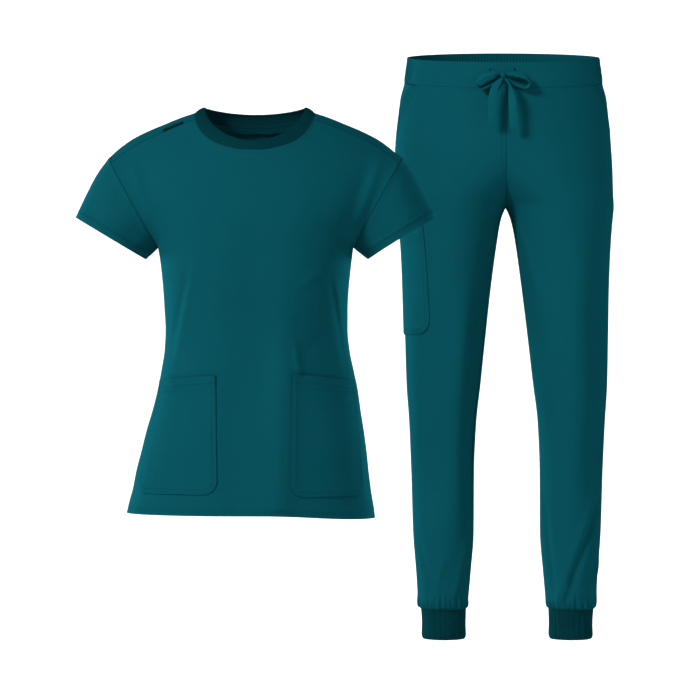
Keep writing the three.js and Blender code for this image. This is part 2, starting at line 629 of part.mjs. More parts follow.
// A sleeve runs from the armhole ring to its hem ring. Columns: place along it, the top line and the
// underside in front view (x outward, level), and half the depth.
const sleeveLines = {
  1: table(["at", "topX", "topZ", "lowX", "lowZ", "deep"], [
    [0, SHOULDER.left, SHOULDER.level, 156, UNDERARM, 62],
    [0.3, 252, -193, 163, -315, 61],
    [0.6, 268.5, -222, 170, -320.5, 59],
    [1, 288.5, -260.5, 179, -327.5, 56],
  ]),
  "-1": table(["at", "topX", "topZ", "lowX", "lowZ", "deep"], [
    [0, -SHOULDER.right, SHOULDER.level, 153, UNDERARM, 62],
    [0.3, 250, -193, 159, -315, 61],
    [0.6, 265.5, -222, 165, -320.5, 59],
    [1, 284, -261, 173, -327.5, 56],
  ]),
};
const sleeveFolds = {
  1: [
    { a0: 0.9, b0: 0.02, a1: 1.35, b1: 0.98, width: 12, height: 4 },
    { a0: 1.9, b0: 0.02, a1: 1.9, b1: 0.98, width: 14, height: -3 },
    { a0: -1.2, b0: 0.02, a1: -1.5, b1: 0.98, width: 14, height: 4 },
  ],
  "-1": [
    { a0: 1.0, b0: 0.02, a1: 1.4, b1: 0.98, width: 12, height: 4 },
    { a0: 2.0, b0: 0.02, a1: 2.1, b1: 0.98, width: 13, height: -3 },
    { a0: -1.3, b0: 0.02, a1: -1.4, b1: 0.98, width: 14, height: 4 },
  ],
};
function sleevePoint(side, angle, along, out = 0) {
  const lines = sleeveLines[side];
  const at = along * (1 - 0.06 * max(0, -sin(angle))); // the back hem is drawn up a little
  const high = V(side * lines.topX(at), 0, lines.topZ(at));
  const low = V(side * lines.lowX(at), 0, lines.lowZ(at));
  const half = high.clone().sub(low).multiplyScalar(0.5);
  const grow = out + foldHeight(sleeveFolds[side], angle, at, 60);
  const across = cos(angle) * (1 + grow / half.length());
  const point = high.add(low).multiplyScalar(0.5).addScaledVector(half, across);
  return point.setY(-(lines.deep(at) + grow) * sin(angle));
}
function sleeveAt(side, angle, at, out = 0) {
  const a = sleevePoint(side, angle + 0.01, at, out).sub(sleevePoint(side, angle - 0.01, at, out));
  const b = sleevePoint(side, angle, at + 0.01, out).sub(sleevePoint(side, angle, at - 0.01, out));
  const point = sleevePoint(side, angle, at, out);
  const normal = a.cross(b).normalize();
  const middle = sleevePoint(side, 0, at).add(sleevePoint(side, PI, at)).multiplyScalar(0.5);
  return { point, normal: normal.dot(point.clone().sub(middle)) < 0 ? normal.negate() : normal };
}
for (const [name, side] of sides) {
  const angles = [...armAngles(1), ...armAngles(-1).reverse().slice(1)]; // once round from the underarm
  const away = V(side * armhole[side].dir.z, 0, -side * armhole[side].dir.x).multiplyScalar(SEAM_GAP);
  const first = rowOf(angles, (angle) => {
    const { point, normal } = armRing(side, angle);
    return { point: point.add(away), normal };
  });
  const rest = [0.2, 0.5, 0.8, 1].map((at) => rowOf(angles, (angle) => sleeveAt(side, angle, at)));
  const rings = [first, ...rest].map((r) => ({ ...r, along: spread(angles.length - 1) }));
  piece(top, `sleeve_${name}`, wall(rings, CLOTH, true), twill);
}

// The neckband stands on the neckline seam and leans in to its upper edge.
const neckAngle = [...[...neckAngles[1]].reverse(), ...neckAngles["-1"].slice(1)]; // once round
const bandEdge = (a) => {
  const [x, s] = [79.5 * cos(a), sin(a)];
  return s > 0 ? V(x, -78 * s, -86 - 58 * s ** 1.2) : V(x, -57 * s, -86 - 7 * s * s);
};
const bandRow = (k) => {
  const made = neckAngle.map((a) => {
    const seam = overAt(...neckline(a));
    const edge = bandEdge(a);
    const up = edge.clone().sub(seam.point);
    const start = seam.point.clone().addScaledVector(up.clone().normalize(), SEAM_GAP);
    const point = start.lerp(edge, k).addScaledVector(seam.normal, 1.6 * sin(PI * k));
    const inward = V(-point.x, -point.y, 0).normalize();
    const rise = up.normalize();
    const normal = rise.clone().multiplyScalar(rise.dot(inward)).sub(inward).normalize();
    return { point, normal };
  });
  const along = spread(neckAngle.length - 1);
  return { along, points: made.map((m) => m.point), normals: made.map((m) => m.normal) };
};
piece(top, "neckband", wall([0, 0.4, 1].map(bandRow), BAND, true), rib);

// The tape that covers the seam inside the back of the neck.
const neckTape = [0.25, 1.1].map((k) => rowOf(spread(14), (u) => {
  const [x, over] = neckline(lerp(PI + 0.75, 2 * PI - 0.75, u));
  return overAt(x, -sqrt(over * over + k * 8), -CLOTH - LAY_GAP - 1);
}));
piece(top, "neck_tape", wall(neckTape, CLOTH), twill);

// Patch pockets, by level: their inner edge as x on the front and their outer edge as an angle from the
// side.
const POCKET = {
  right: { top: -510, bottom: -695, topSlope: -9, inner: [-57, -54], outer: [0.24, 0.34] },
  left: { top: -508, bottom: -699, topSlope: -12, inner: [61, 58], outer: [0.24, 0.34] },
};
for (const [name, p] of Object.entries(POCKET)) {
  const side = name === "left" ? 1 : -1;
  const height = p.top - p.bottom;
  const rows = [0, 10, 50, 90, 130, height - 22, height - 11, height - 3, height].map((down) => {
    const k = down / height;
    const level = p.top - down;
    const inset = roundedIn(height - down, 22);
    const half = side > 0 ? body.left(level) : body.right(level);
    const x = lerp(p.inner[0], p.inner[1], k) + side * inset;
    const middle = (body.left(level) - body.right(level)) / 2;
    const wide = (body.left(level) + body.right(level)) / 2;
    const c = (x - middle) / wide;
    const innerAngle = acos(-Math.sign(c) * abs(c) ** (body.round(level) / 2));
    const outerAngle = lerp(p.outer[0], p.outer[1], k) + inset / 110;
    const outer = side > 0 ? PI - outerAngle : outerAngle;
    const lift = LAY_GAP + CLOTH + 1.5 * exp(-((down / 20) ** 2));
    return rowOf(spread(10), (u) => {
      const slope = p.topSlope * u * (1 - k);
      return sectionAt(1, lerp(innerAngle, outer, u), level + slope, lift);
    });
  });
  piece(top, `pocket_${name}`, wall(rows, CLOTH), twill);
}

// A short loop of elastic lies along the right shoulder seam.
const loopAt = (u, k) => overAt(lerp(-143, -112, u), SEAM_OVER + k * 0.24, CLOTH + LAY_GAP);
const loopRow = (k) => rowOf(spread(6), (u) => loopAt(u, k));
piece(top, "badge_loop", wall([-1, 0, 1].map(loopRow), CLOTH), elastic);

export default garments;
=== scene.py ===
# %% [markdown]
# # Medical scrubs in dyed stretch twill
# Two garments are dressed here on their plain solids: a round-neck top, and jogger trousers with a
# drawstring. Both are filled out as if somebody wore them. Each cut piece of cloth is a thin shell, drawn
# again from the same section tables as its solid but with a far closer net of points, so that creases,
# gathers and turned edges can be laid into it.

import bmesh
import bpy
import numpy as np
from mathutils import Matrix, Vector


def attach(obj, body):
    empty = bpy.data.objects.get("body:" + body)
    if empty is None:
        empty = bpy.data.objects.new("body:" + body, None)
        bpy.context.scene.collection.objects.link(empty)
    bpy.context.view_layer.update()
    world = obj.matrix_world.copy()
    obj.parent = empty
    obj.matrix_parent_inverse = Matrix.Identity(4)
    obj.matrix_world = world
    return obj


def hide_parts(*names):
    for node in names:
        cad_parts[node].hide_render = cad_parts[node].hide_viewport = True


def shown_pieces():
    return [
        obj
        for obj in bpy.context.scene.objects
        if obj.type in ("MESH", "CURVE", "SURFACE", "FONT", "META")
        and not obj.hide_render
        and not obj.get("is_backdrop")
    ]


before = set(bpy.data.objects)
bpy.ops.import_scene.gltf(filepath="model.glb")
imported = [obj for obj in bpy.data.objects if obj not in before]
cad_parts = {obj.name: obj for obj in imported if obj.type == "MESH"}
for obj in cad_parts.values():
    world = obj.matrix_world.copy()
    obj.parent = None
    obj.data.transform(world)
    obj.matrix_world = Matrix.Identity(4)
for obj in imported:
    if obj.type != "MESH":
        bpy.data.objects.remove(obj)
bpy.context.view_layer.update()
scene = bpy.context.scene
MM = 0.001
PI = np.pi

# %% [markdown]
# ## Viewpoint
# The picture is taken level, square to the fronts and from far away, so that the sides run nearly
# parallel. A long lens from 4.5 m keeps that slight narrowing with depth and nothing more.

# %% Camera
lens = bpy.data.cameras.new("long_lens")
lens.sensor_width = 36
lens.lens = 142
lens.clip_end = 30
viewpoint = bpy.data.objects.new("viewpoint", lens)
viewpoint.location = (-0.2494, -4.5, -0.471)
viewpoint.rotation_euler = (PI / 2, 0, 0)
scene.collection.objects.link(viewpoint)
scene.camera = viewpoint
print("camera at", tuple(viewpoint.location))

# %% [markdown]
# ## Curves and nets of points
# A garment is drawn as rows of sections. Each measure, such as a half width or a depth, changes smoothly
# from row to row and never overshoots the values in its table, so a table with few rows gives a clean
# form.


# %% Smooth curves through tables
def curve(x, y):
    """A smooth curve through points, which never overshoots them."""
    order = np.argsort(x)
    x, y = np.asarray(x, float)[order], np.asarray(y, float)[order]
    slope = np.diff(y) / np.diff(x)
    tangent = np.empty(len(x))
    tangent[0], tangent[-1] = slope[0], slope[-1]
    a, b = slope[:-1], slope[1:]
    same = a * b > 0
    tangent[1:-1] = np.where(same, 2 * a * b / np.where(same, a + b, 1), 0)

    def at(v):
        p = np.clip(v, x[0], x[-1])
        i = np.clip(np.searchsorted(x, p, side="left") - 1, 0, len(x) - 2)
        w = x[i + 1] - x[i]
        k = (p - x[i]) / w
        k2, k3 = k * k, k * k * k
        return (
            (2 * k3 - 3 * k2 + 1) * y[i]
            + (k3 - 2 * k2 + k) * w * tangent[i]
            + (3 * k2 - 2 * k3) * y[i + 1]
            + (k3 - k2) * w * tangent[i + 1]
        )

    return at


def table(names, rows):
    """Named curves over the first column."""
    columns = list(zip(*rows))
    return {name: curve(columns[0], column) for name, column in zip(names[1:], columns[1:])}


def ease(a, b, v):
    k = np.clip((v - a) / (b - a), 0, 1)
    return k * k * (3 - 2 * k)


def lerp(a, b, k):
    return a + (b - a) * k


def stack(x, y, z):
    return np.stack(np.broadcast_arrays(x, y, z), axis=-1).astype(float)


def unit(v):
    return v / np.maximum(np.linalg.norm(v, axis=-1, keepdims=True), 1e-12)


def folds(rows, a, b, reach=1.0):
    """Soft ridges and troughs, one a row: start, end, half width, height, and how they fade."""
    total = np.zeros(np.broadcast(a, b).shape)
    for a0, b0, a1, b1, width, height, *fade in rows:
        rise, fall = fade or (0.3, 0.3)
        k = (b - b0) / (b1 - b0)
        inside = (k > 0) & (k < 1)
        off = (a - lerp(a0, a1, k)) * reach / width
        strength = ease(0, rise, k) * ease(0, fall, 1 - k)
        total += np.where(inside, height * strength * np.exp(-off * off), 0)
    return total


# %% [markdown]
# ## From a net to a piece of cloth
# A cut piece is a net of points on its outer face and the same net moved in by the cloth's thickness,
# closed round the edge. The net also keeps each point's place on the flat cloth in metres, so that a
# weave has the same size everywhere, and its distance from the nearest sewn edge, so that a seam can sink
# in there.


# %% Cloth shells
PANELS = {}
FAR = 99.0  # mm, for a point that is near no edge and no row
ROW_STEP = 1.5


class Panel:
    """A net of points in mm, rows down and columns across, with its normals and its flat measures."""

    def __init__(self, points, outside, ring=False, normals=None):
        self.points, self.ring = points, ring
        across = np.gradient(points, axis=1)
        if ring:
            wrapped = np.concatenate([points[:, -2:-1], points, points[:, 1:2]], axis=1)
            across = (wrapped[:, 2:] - wrapped[:, :-2]) / 2
        down = np.gradient(points, axis=0)
        normal = unit(np.cross(across, down))
        away = points - outside(points)
        if np.mean(np.sum(normal * away, axis=-1)) < 0:
            normal = -normal
        self.normals = normal if normals is None else normals(normal)
        step_x = np.linalg.norm(np.diff(points, axis=1), axis=-1)
        step_y = np.linalg.norm(np.diff(points, axis=0), axis=-1)
        zero = np.zeros((points.shape[0], 1))
        self.from_left = np.concatenate([zero, np.cumsum(step_x, axis=1)], axis=1)
        self.from_right = self.from_left[:, -1:] - self.from_left
        self.from_top = np.concatenate(
            [np.zeros((1, points.shape[1])), np.cumsum(step_y, axis=0)], axis=0
        )
        self.from_end = self.from_top[-1:, :] - self.from_top
        self.edges = {
            "left": self.from_left,
            "right": self.from_right,
            "top": self.from_top,
            "end": self.from_end,
        }
        self.width = self.from_left[:, -1].max()
        self.length = np.median(self.from_top[-1])
        cell = np.cross(points[1:, 1:] - points[:-1, :-1], points[1:, :-1] - points[:-1, 1:])
        self.area = np.linalg.norm(cell, axis=-1).sum() / 2

    def distance(self, sides):
        """Distance in mm from the nearest of the named edges."""
        chosen = [self.edges[side] for side in sides]
        return np.minimum.reduce(chosen) if chosen else np.full(self.from_left.shape, FAR)

    def rows_field(self, rows):
        """Distance in mm from the nearest stitched row: its side, its inset, its start and its end."""
        near = np.full(self.from_left.shape, FAR)
        count, columns = near.shape
        for side, mm, start, stop in rows:
            if side == "around":
                edge = self.outline()[0]
                gaps = np.linalg.norm(self.points[:, :, None] - edge[None, None], axis=-1)
                near = np.minimum(near, np.abs(gaps.min(axis=-1) - mm))
                continue
            upright = side in ("left", "right")
            along = np.linspace(0, 1, count)[:, None] if upright else np.linspace(0, 1, columns)[None, :]
            field = self.distance([side])
            sewn = (along >= start) & (along <= stop)
            near = np.minimum(near, np.where(sewn, np.abs(field - mm), FAR))
        return near

    def outline(self):
        """Points 1.5 mm apart down the left edge, along the end and up the right one, with normals."""
        nets = (self.points, self.normals)
        chain = [np.concatenate([net[:, 0], net[-1, 1:-1], net[::-1, -1]]) for net in nets]
        far = np.concatenate([[0], np.cumsum(np.linalg.norm(np.diff(chain[0], axis=0), axis=1))])
        even = np.linspace(0, far[-1], int(far[-1] / ROW_STEP) + 1)
        return [np.stack([np.interp(even, far, part[:, j]) for j in range(3)], axis=-1) for part in chain]

    def around(self, mm, lift=0.1):
        """A line mm inside the left edge, the end and the right edge, as round a patch pocket."""
        edge, normal = self.outline()
        inward = unit(np.cross(normal, np.gradient(edge, axis=0)))
        if np.sum(inward * (self.points.reshape(-1, 3).mean(axis=0) - edge)) < 0:
            inward = -inward
        line = edge + inward * mm
        net, facing = self.points.reshape(-1, 3), self.normals.reshape(-1, 3)
        nearest = np.linalg.norm(line[:, None] - net[None], axis=-1).argmin(axis=1)
        above = np.sum((line - net[nearest]) * facing[nearest], axis=-1, keepdims=True)
        return line + facing[nearest] * (lift - above)

    def inset(self, side, mm, start=0.0, stop=1.0, lift=0.1):
        """A line of points that runs mm inside one edge, between two places along it."""
        rows = side in ("left", "right")
        run = self.edges[side]
        count = run.shape[0] if rows else run.shape[1]
        picked = []
        for i in range(int(start * (count - 1)), int(round(stop * (count - 1))) + 1):
            far = run[i] if rows else run[:, i]
            p = self.points[i] if rows else self.points[:, i]
            n = self.normals[i] if rows else self.normals[:, i]
            if far[0] > far[-1]:
                far, p, n = far[::-1], p[::-1], n[::-1]
            spot = [np.interp(mm, far, p[:, j] + n[:, j] * lift) for j in range(3)]
            picked.append(spot)
        return np.array(picked)


def quads(index):
    """Four corners for each cell of a grid of point numbers."""
    a, b = index[:-1], index[1:]
    return np.stack([a[:, :-1], b[:, :-1], b[:, 1:], a[:, 1:]], axis=-1).reshape(-1, 4)


def other_way(faces):
    return faces[:, [0, 3, 2, 1]]


def facing_out(points, faces):
    """Turns all faces round where a closed shape would be inside out."""
    p = points[faces]
    turned = np.cross(p[:, 1], p[:, 2]) + np.cross(p[:, 2], p[:, 3])
    volume = np.einsum("ij,ij->i", p[:, 0], turned).sum()
    return faces if volume > 0 else faces[:, ::-1]


def new_mesh(name, vertices, faces, uv=None, fields=None):
    """A mesh from arrays: vertices in mm, four corners a face, and named values for each vertex."""
    faces = np.asarray(faces)
    mesh = bpy.data.meshes.new(name)
    mesh.vertices.add(len(vertices))
    mesh.vertices.foreach_set("co", (np.asarray(vertices) * MM).ravel())
    mesh.loops.add(faces.size)
    mesh.loops.foreach_set("vertex_index", faces.ravel())
    mesh.polygons.add(len(faces))
    mesh.polygons.foreach_set("loop_start", np.arange(len(faces)) * faces.shape[1])
    mesh.update(calc_edges=True)
    if uv is not None:
        layer = mesh.uv_layers.new(name="flat_cloth")
        layer.data.foreach_set("uv", (uv[faces.ravel()] * MM).ravel())
    for key, values in (fields or {}).items():
        layer = mesh.attributes.new(key, "FLOAT", "POINT")
        layer.data.foreach_set("value", values.ravel())
    mesh.validate()
    mesh.polygons.foreach_set("use_smooth", np.ones(len(mesh.polygons), bool))
    mesh.set_sharp_from_angle(angle=np.radians(48))
    return mesh


def piece(name, mesh, material, nodes=()):
    """An object of the garment: it rides on the one body and stands for its plain solids."""
    made = bpy.data.objects.new(name, mesh)
    scene.collection.objects.link(made)
    mesh.materials.append(material)
    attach(made, "root")
    if nodes:
        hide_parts(*nodes)
    return made


STITCHED = {}


def shell(
    name, panel, thickness, sewn, material, nodes, cut=None, rows=()
):
    down, columns = panel.points.shape[:2]
    inner = panel.points - panel.normals * thickness
    width = columns - 1 if panel.ring else columns
    index = np.arange(down * width).reshape(down, width)
    if panel.ring:
        index = np.concatenate([index, index[:, :1]], axis=1)
    under = index + down * width
    edges = [(index[0], under[0]), (under[-1], index[-1])]
    if not panel.ring:
        edges += [(under[:, 0], index[:, 0]), (index[:, -1], under[:, -1])]
    strips = [np.stack([a[:-1], a[1:], b[1:], b[:-1]], axis=-1) for a, b in edges]
    faces = np.concatenate([quads(index), other_way(quads(under)), *strips])
    both = np.concatenate([panel.points[:, :width].reshape(-1, 3), inner[:, :width].reshape(-1, 3)])
    faces = facing_out(both, faces)
    middle = panel.from_left - panel.from_left[:, -1:] / 2
    flat = np.stack([middle, -panel.from_top], axis=-1)[:, :width].reshape(-1, 2)
    seam = panel.distance(sewn)[:, :width].ravel()
    stitched = panel.rows_field(rows)[:, :width].ravel()
    fields = {
        "seam_mm": np.concatenate([seam, seam + 60]), "row_mm": np.concatenate([stitched, stitched])
    }
    mesh = new_mesh(name, both, faces, np.concatenate([flat, flat]), fields)
    made = piece(name, mesh, material, nodes)
    w, l = cut or (panel.width, panel.length)
    area = panel.area * (w * l) / (panel.width * panel.length) if cut else panel.area
    area = max(min(area, w * l), 0.31 * w * l)
    PANELS[name] = panel
    STITCHED[name] = [
        panel.around(mm) if side == "around" else panel.inset(side, mm, a, b) for side, mm, a, b in rows
    ]
    print(f"{name}: flat {w:.0f} x {l:.0f} mm, {area / 1e6:.3f} m2, {len(mesh.polygons)} faces")
    return made


# %% [markdown]
# ## Finishes
# The cloth is a fine dyed twill with some stretch. It is matt, and its flat floats of smooth yarn give
# broad soft light on rounded parts, which a high roughness and a low sheen show. Rib knit is duller and
# deeper, since its loops shade each other, and the drawstring is a coarser woven tape.


# %% Colour and node helpers
def linear(hexed):
    """A colour as it looks on a screen, such as 0C5A62, turned into light."""
    parts = [int(hexed[i : i + 2], 16) / 255 for i in (0, 2, 4)]
    return [c / 12.92 if c <= 0.04045 else ((c + 0.055) / 1.055) ** 2.4 for c in parts] + [1]


def node(tree, kind, place=(0, 0), inputs=None, **settings):
    made = tree.nodes.new(kind)
    made.location = place
    for key, value in settings.items():
        setattr(made, key, value)
    for key, value in (inputs or {}).items():
        if isinstance(value, bpy.types.NodeSocket):
            tree.links.new(value, made.inputs[key])
        else:
            made.inputs[key].default_value = value
    return made


def finish(name, colour, roughness, sheen):
    """A material with one surface, ready for a pattern."""
    material = bpy.data.materials.new(name)
    material.use_nodes = True
    tree = material.node_tree
    surface = tree.nodes["Principled BSDF"]
    surface.inputs["Base Color"].default_value = linear(colour)
    surface.inputs["Roughness"].default_value = roughness
    surface.inputs["Specular IOR Level"].default_value = 0.0
    surface.inputs["Sheen Weight"].default_value = sheen
    surface.inputs["Sheen Roughness"].default_value = 0.45
    surface.inputs["Sheen Tint"].default_value = linear("0A8C9A")
    return material, tree, surface


def bump_of(tree, surface, height, distance, strength=1.0, below=None):
    made = node(
        tree,
        "ShaderNodeBump",
        (-200, -300),
        {"Height": height, "Distance": distance, "Strength": strength},
    )
    if below is not None:
        tree.links.new(below.outputs["Normal"], made.inputs["Normal"])
    tree.links.new(made.outputs["Normal"], surface.inputs["Normal"])
    return made


def groove(tree, field, reach, floor, place):
    """Rises from floor to 1 over the first few mm from a seam or a stitched row."""
    far = node(tree, "ShaderNodeAttribute", place, attribute_name=field).outputs["Fac"]
    rise = node(
        tree,
        "ShaderNodeMapRange",
        (place[0] + 200, place[1]),
        {"Value": far, "From Min": 0, "From Max": reach, "To Min": floor, "To Max": 1},
        interpolation_type="SMOOTHERSTEP",
    )
    return rise.outputs["Result"]


def seam_dip(tree, place):
    """Grooves at seams and stitched rows, which also set where shade is painted into the colour, and the
    small puckers that the thread draws up beside them.
    """
    seam = groove(tree, "seam_mm", 1.2, 0.3, (-1500, -700))
    row = groove(tree, "row_mm", 1.2, 0.5, (-1500, -900))
    dip = node(
        tree, "ShaderNodeMath", (-1000, -800), {0: seam, 1: row}, operation="MULTIPLY"
    ).outputs["Value"]
    near_seam = groove(tree, "seam_mm", 9, 0, (-1500, -1100))
    near_row = groove(tree, "row_mm", 6, 0, (-1500, -1300))
    calm = node(
        tree, "ShaderNodeMath", (-1000, -1200), {0: near_seam, 1: near_row}, operation="MULTIPLY"
    ).outputs["Value"]
    drawn = node(
        tree, "ShaderNodeMath", (-800, -1200), {0: 1.0, 1: calm}, operation="SUBTRACT"
    ).outputs["Value"]
    lumps = node(
        tree, "ShaderNodeTexNoise", (-1000, -1400), {"Vector": place, "Scale": 130.0, "Detail": 1.0}
    ).outputs["Fac"]
    pucker = node(
        tree, "ShaderNodeMath", (-600, -1300), {0: lumps, 1: drawn}, operation="MULTIPLY"
    ).outputs["Value"]
    return dip, pucker


# %% [markdown]
# The twill's fine diagonal wales are 0.5 mm apart, so from a few steps away they only break up the light.
# Wider, weaker unevenness in the colour and the surface keeps large panels from looking like plastic.
# Seams and stitched rows are painted a little darker, as painted shade in the grooves where the cloth
# turns in.


# %% Twill
def twill_finish(name, colour, darker, wale=0.0005):
    material, tree, surface = finish(name, colour, 0.8, 0.04)
    place = node(tree, "ShaderNodeUVMap", (-1500, 0), uv_map="flat_cloth").outputs["UV"]
    turned = node(
        tree, "ShaderNodeMapping", (-1300, 0), {"Vector": place, "Rotation": (0, 0, np.radians(62))}
    )
    wales = node(
        tree,
        "ShaderNodeTexWave",
        (-1100, 0),
        {
            "Vector": turned.outputs["Vector"],
            "Scale": 0.314 / wale,
            "Distortion": 0.6,
            "Detail": 1.0,
            "Detail Scale": 300.0,
        },
        wave_type="BANDS",
        bands_direction="X",
    )
    cloudy = node(
        tree, "ShaderNodeTexNoise", (-1100, -300), {"Vector": place, "Scale": 14.0, "Detail": 3.0}
    )
    slubs = node(
        tree, "ShaderNodeTexNoise", (-1100, -500), {"Vector": place, "Scale": 900.0, "Detail": 1.0}
    )
    dip, pucker = seam_dip(tree, place)
    shade = node(
        tree,
        "ShaderNodeMapRange",
        (-800, 200),
        {"Value": cloudy.outputs["Fac"], "From Min": 0.3, "From Max": 0.7, "To Min": 0.0, "To Max": 0.10},
    )
    colours = node(
        tree, "ShaderNodeMix", (-600, 200), {"Factor": shade.outputs["Result"]}, data_type="RGBA"
    )
    colours.inputs["A"].default_value = linear(colour)
    colours.inputs["B"].default_value = linear(darker)
    # Painted shade: the colour darkens in the grooves at seams and stitched rows.
    seam_shade = node(tree, "ShaderNodeMix", (-400, 200), {"Factor": dip}, data_type="RGBA")
    seam_shade.inputs["A"].default_value = linear(darker)
    tree.links.new(colours.outputs["Result"], seam_shade.inputs["B"])
    tree.links.new(seam_shade.outputs["Result"], surface.inputs["Base Color"])
    weave = bump_of(tree, surface, wales.outputs["Fac"], 0.00006, 0.5)
    yarn = bump_of(tree, surface, slubs.outputs["Fac"], 0.00005, 0.4, weave)
    puckered = bump_of(tree, surface, pucker, 0.0009, 1.0, yarn)
    bump_of(tree, surface, dip, 0.0005, 1.0, puckered)
    return material


TWILL = twill_finish("stretch_twill_matt_teal", "094E58", "063A42")
print("finish", TWILL.name)

# %% [markdown]
# Rib knit stands in fine upright ribs, here 1.1 mm apart, with narrow shaded channels between them.


# %% Rib knit
def rib_finish(name, colour, darker, pitch):
    material, tree, surface = finish(name, colour, 0.85, 0.04)
    place = node(tree, "ShaderNodeUVMap", (-1500, 0), uv_map="flat_cloth").outputs["UV"]
    ribs = node(
        tree,
        "ShaderNodeTexWave",
        (-1100, 0),
        {"Vector": place, "Scale": 0.314 / pitch, "Distortion": 0.0},
        wave_type="BANDS",
        bands_direction="X",
    )
    fuzz = node(
        tree, "ShaderNodeTexNoise", (-1100, -300), {"Vector": place, "Scale": 1500.0, "Detail": 2.0}
    )
    colours = node(tree, "ShaderNodeMix", (-600, 200), {"Factor": ribs.outputs["Fac"]}, data_type="RGBA")
    colours.inputs["A"].default_value = linear(darker)
    colours.inputs["B"].default_value = linear(colour)
    tree.links.new(colours.outputs["Result"], surface.inputs["Base Color"])
    channels = bump_of(tree, surface, ribs.outputs["Fac"], 0.0003, 0.8)
    bump_of(tree, surface, fuzz.outputs["Fac"], 0.0001, 0.4, channels)
    return material


RIB = rib_finish("rib_knit_matt_deep_teal", "073C44", "053037", 0.0011)
TAPE = rib_finish("woven_tape_matt_teal", "0C5F6A", "094B55", 0.0009)
ELASTIC, _, _ = finish("dark_elastic_dull", "04262C", 0.8, 0.03)
THREAD, _, _ = finish("sewing_thread_teal", "0B525C", 0.6, 0.05)
# Painted shade: the buttonhole thread is made near black to stand in for the shade inside the holes.
SHADED_THREAD, _, _ = finish("buttonhole_thread_dark", "03262C", 0.8, 0.0)
print("finishes", len(bpy.data.materials))

# %% [markdown]
# ## Sections of the trousers
# Above the crotch each leg's oval would pass the middle of the body, and is cut there, so that two legs
# open into one waist. An angle of 0 is a leg's outer side, a quarter turn its front and half a turn its
# inside.

# %% Leg sections
SEAM_GAP, LAY_GAP, WALL = 0.03, 0.8, 1.2
WAIST_TOP, WAIST_SEAM, CROTCH, HEM_SEAM, CUFF_END = 5.5, -35, -240, -892, -941
leg = table(
    ["level", "outer", "inner", "front", "back", "middleY", "tilt", "drift"],
    [
        [20, 156, -156, 93, 99, 0, 0.178, 0.5],
        [WAIST_TOP, 156, -156, 93, 100, 0, 0.178, 0.5],
        [WAIST_SEAM, 161, -161, 98, 107, 0, 0.178, 0.5],
        [-60, 167.5, -166, 100, 111, 0, 0.165, 0.5],
        [-84, 170.5, -161, 101, 116, 0, 0.15, 0.3],
        [-133, 175.5, -128, 101, 124, 0, 0.09, 0],
        [-182, 177.5, -72, 98, 122, 0, 0.03, 0.8],
        [-220, 177, -20, 95, 115, 0, 0.005, 2.4],
        [CROTCH, 176, 0.2, 92, 109, 0, 0, 4.2],
        [-263, 173.5, 9, 89, 103, 0, 0, 4.5],
        [-296, 170.5, 15, 85, 98, 0, 0, 5],
        [-361, 167.5, 24, 79, 89, -1, 0, 5],
        [-442, 165.5, 33.5, 72, 80, -2, 0, 5.5],
        [-524, 163.5, 42.5, 66, 71, -2, 0, 6],
        [-589, 159.5, 50, 59, 68, 1, 0, 6.5],
        [-671, 156, 53.5, 54, 64, 4, 0, 6.5],
        [-768, 153, 54, 50, 57, 5, 0, 6.5],
        [-834, 148, 59, 47, 51, 4, 0, 6.5],
        [-872, 145.5, 62.5, 45, 47, 3, 0, 6.5],
        [-888, 143.5, 64.5, 42.5, 44, 3, 0, 6.5],
        [HEM_SEAM, 140.5, 67, 38.5, 40, 3, 0, 7],
        [-897, 139.5, 67.5, 37.5, 39, 3, 0, 7],
        [-918, 138.5, 68, 36.5, 38, 3, 0, 7],
        [-934, 139, 67.5, 37, 38.5, 3, 0, 7],
        [CUFF_END, 137.5, 69, 35.5, 37, 3, 0, 7],
    ],
)
seams = table(
    ["level", "outseam", "inseam"],
    [
        [0, 0.06, 0],
        [-133, 0.08, 0],
        [CROTCH, 0.12, 0],
        [-320, 0.16, 0.18],
        [-524, 0.28, 0.34],
        [-620, 0.38, 0.36],
        [HEM_SEAM, 0.36, 0.36],
    ],
)
# Angle and level at the start and end, half width and height, and where the fold rises and falls.
LEG_FOLDS = {
    1: [
        (0.42, -690, 1.95, -893, 8, -4.8, 0.3, 0.12),
        (0.95, -320, 0.95, -780, 25, -5),
        (0.62, -690, 2.2, -893, 11, 3.5, 0.3, 0.12),
        (1.3, -250, 1.1, -640, 26, 2.5),
        (0.15, -800, 0.9, -890, 6, 2.5),
        (2.2, -780, 1.5, -888, 7, 2),
        (2.6, -700, 2.3, -886, 8, -2.5),
        (2.75, -250, 2.2, -420, 12, 2.5),
        (-0.9, -640, -1.9, -890, 12, -4),
        (-2.4, -640, -1.2, -892, 11, 3),
        (-2.3, -255, -1.6, -430, 13, -3.5),
        (-1.2, -170, -0.8, -380, 18, 2.5),
    ],
    -1: [
        (0.95, -330, 0.95, -830, 22, -3),
        (1.95, -330, 1.95, -830, 22, 7),
        (2.5, -230, 2.5, -790, 20, -3.5),
        (0.72, -110, 0.8, -440, 40, -4.5),
        (0.5, -770, 1.3, -888, 8, -2.5),
        (2.5, -760, 1.9, -890, 8, 2.5),
        (1.6, -800, 1.1, -888, 6, 2),
        (2.75, -250, 2.3, -400, 11, 2.5),
        (-0.8, -620, -2.0, -890, 12, -4),
        (-2.5, -650, -1.3, -892, 11, 3),
        (-2.3, -255, -1.5, -430, 13, -3.5),
        (-1.1, -170, -0.8, -400, 18, 2.5),
    ],
}
GATHERS = 25


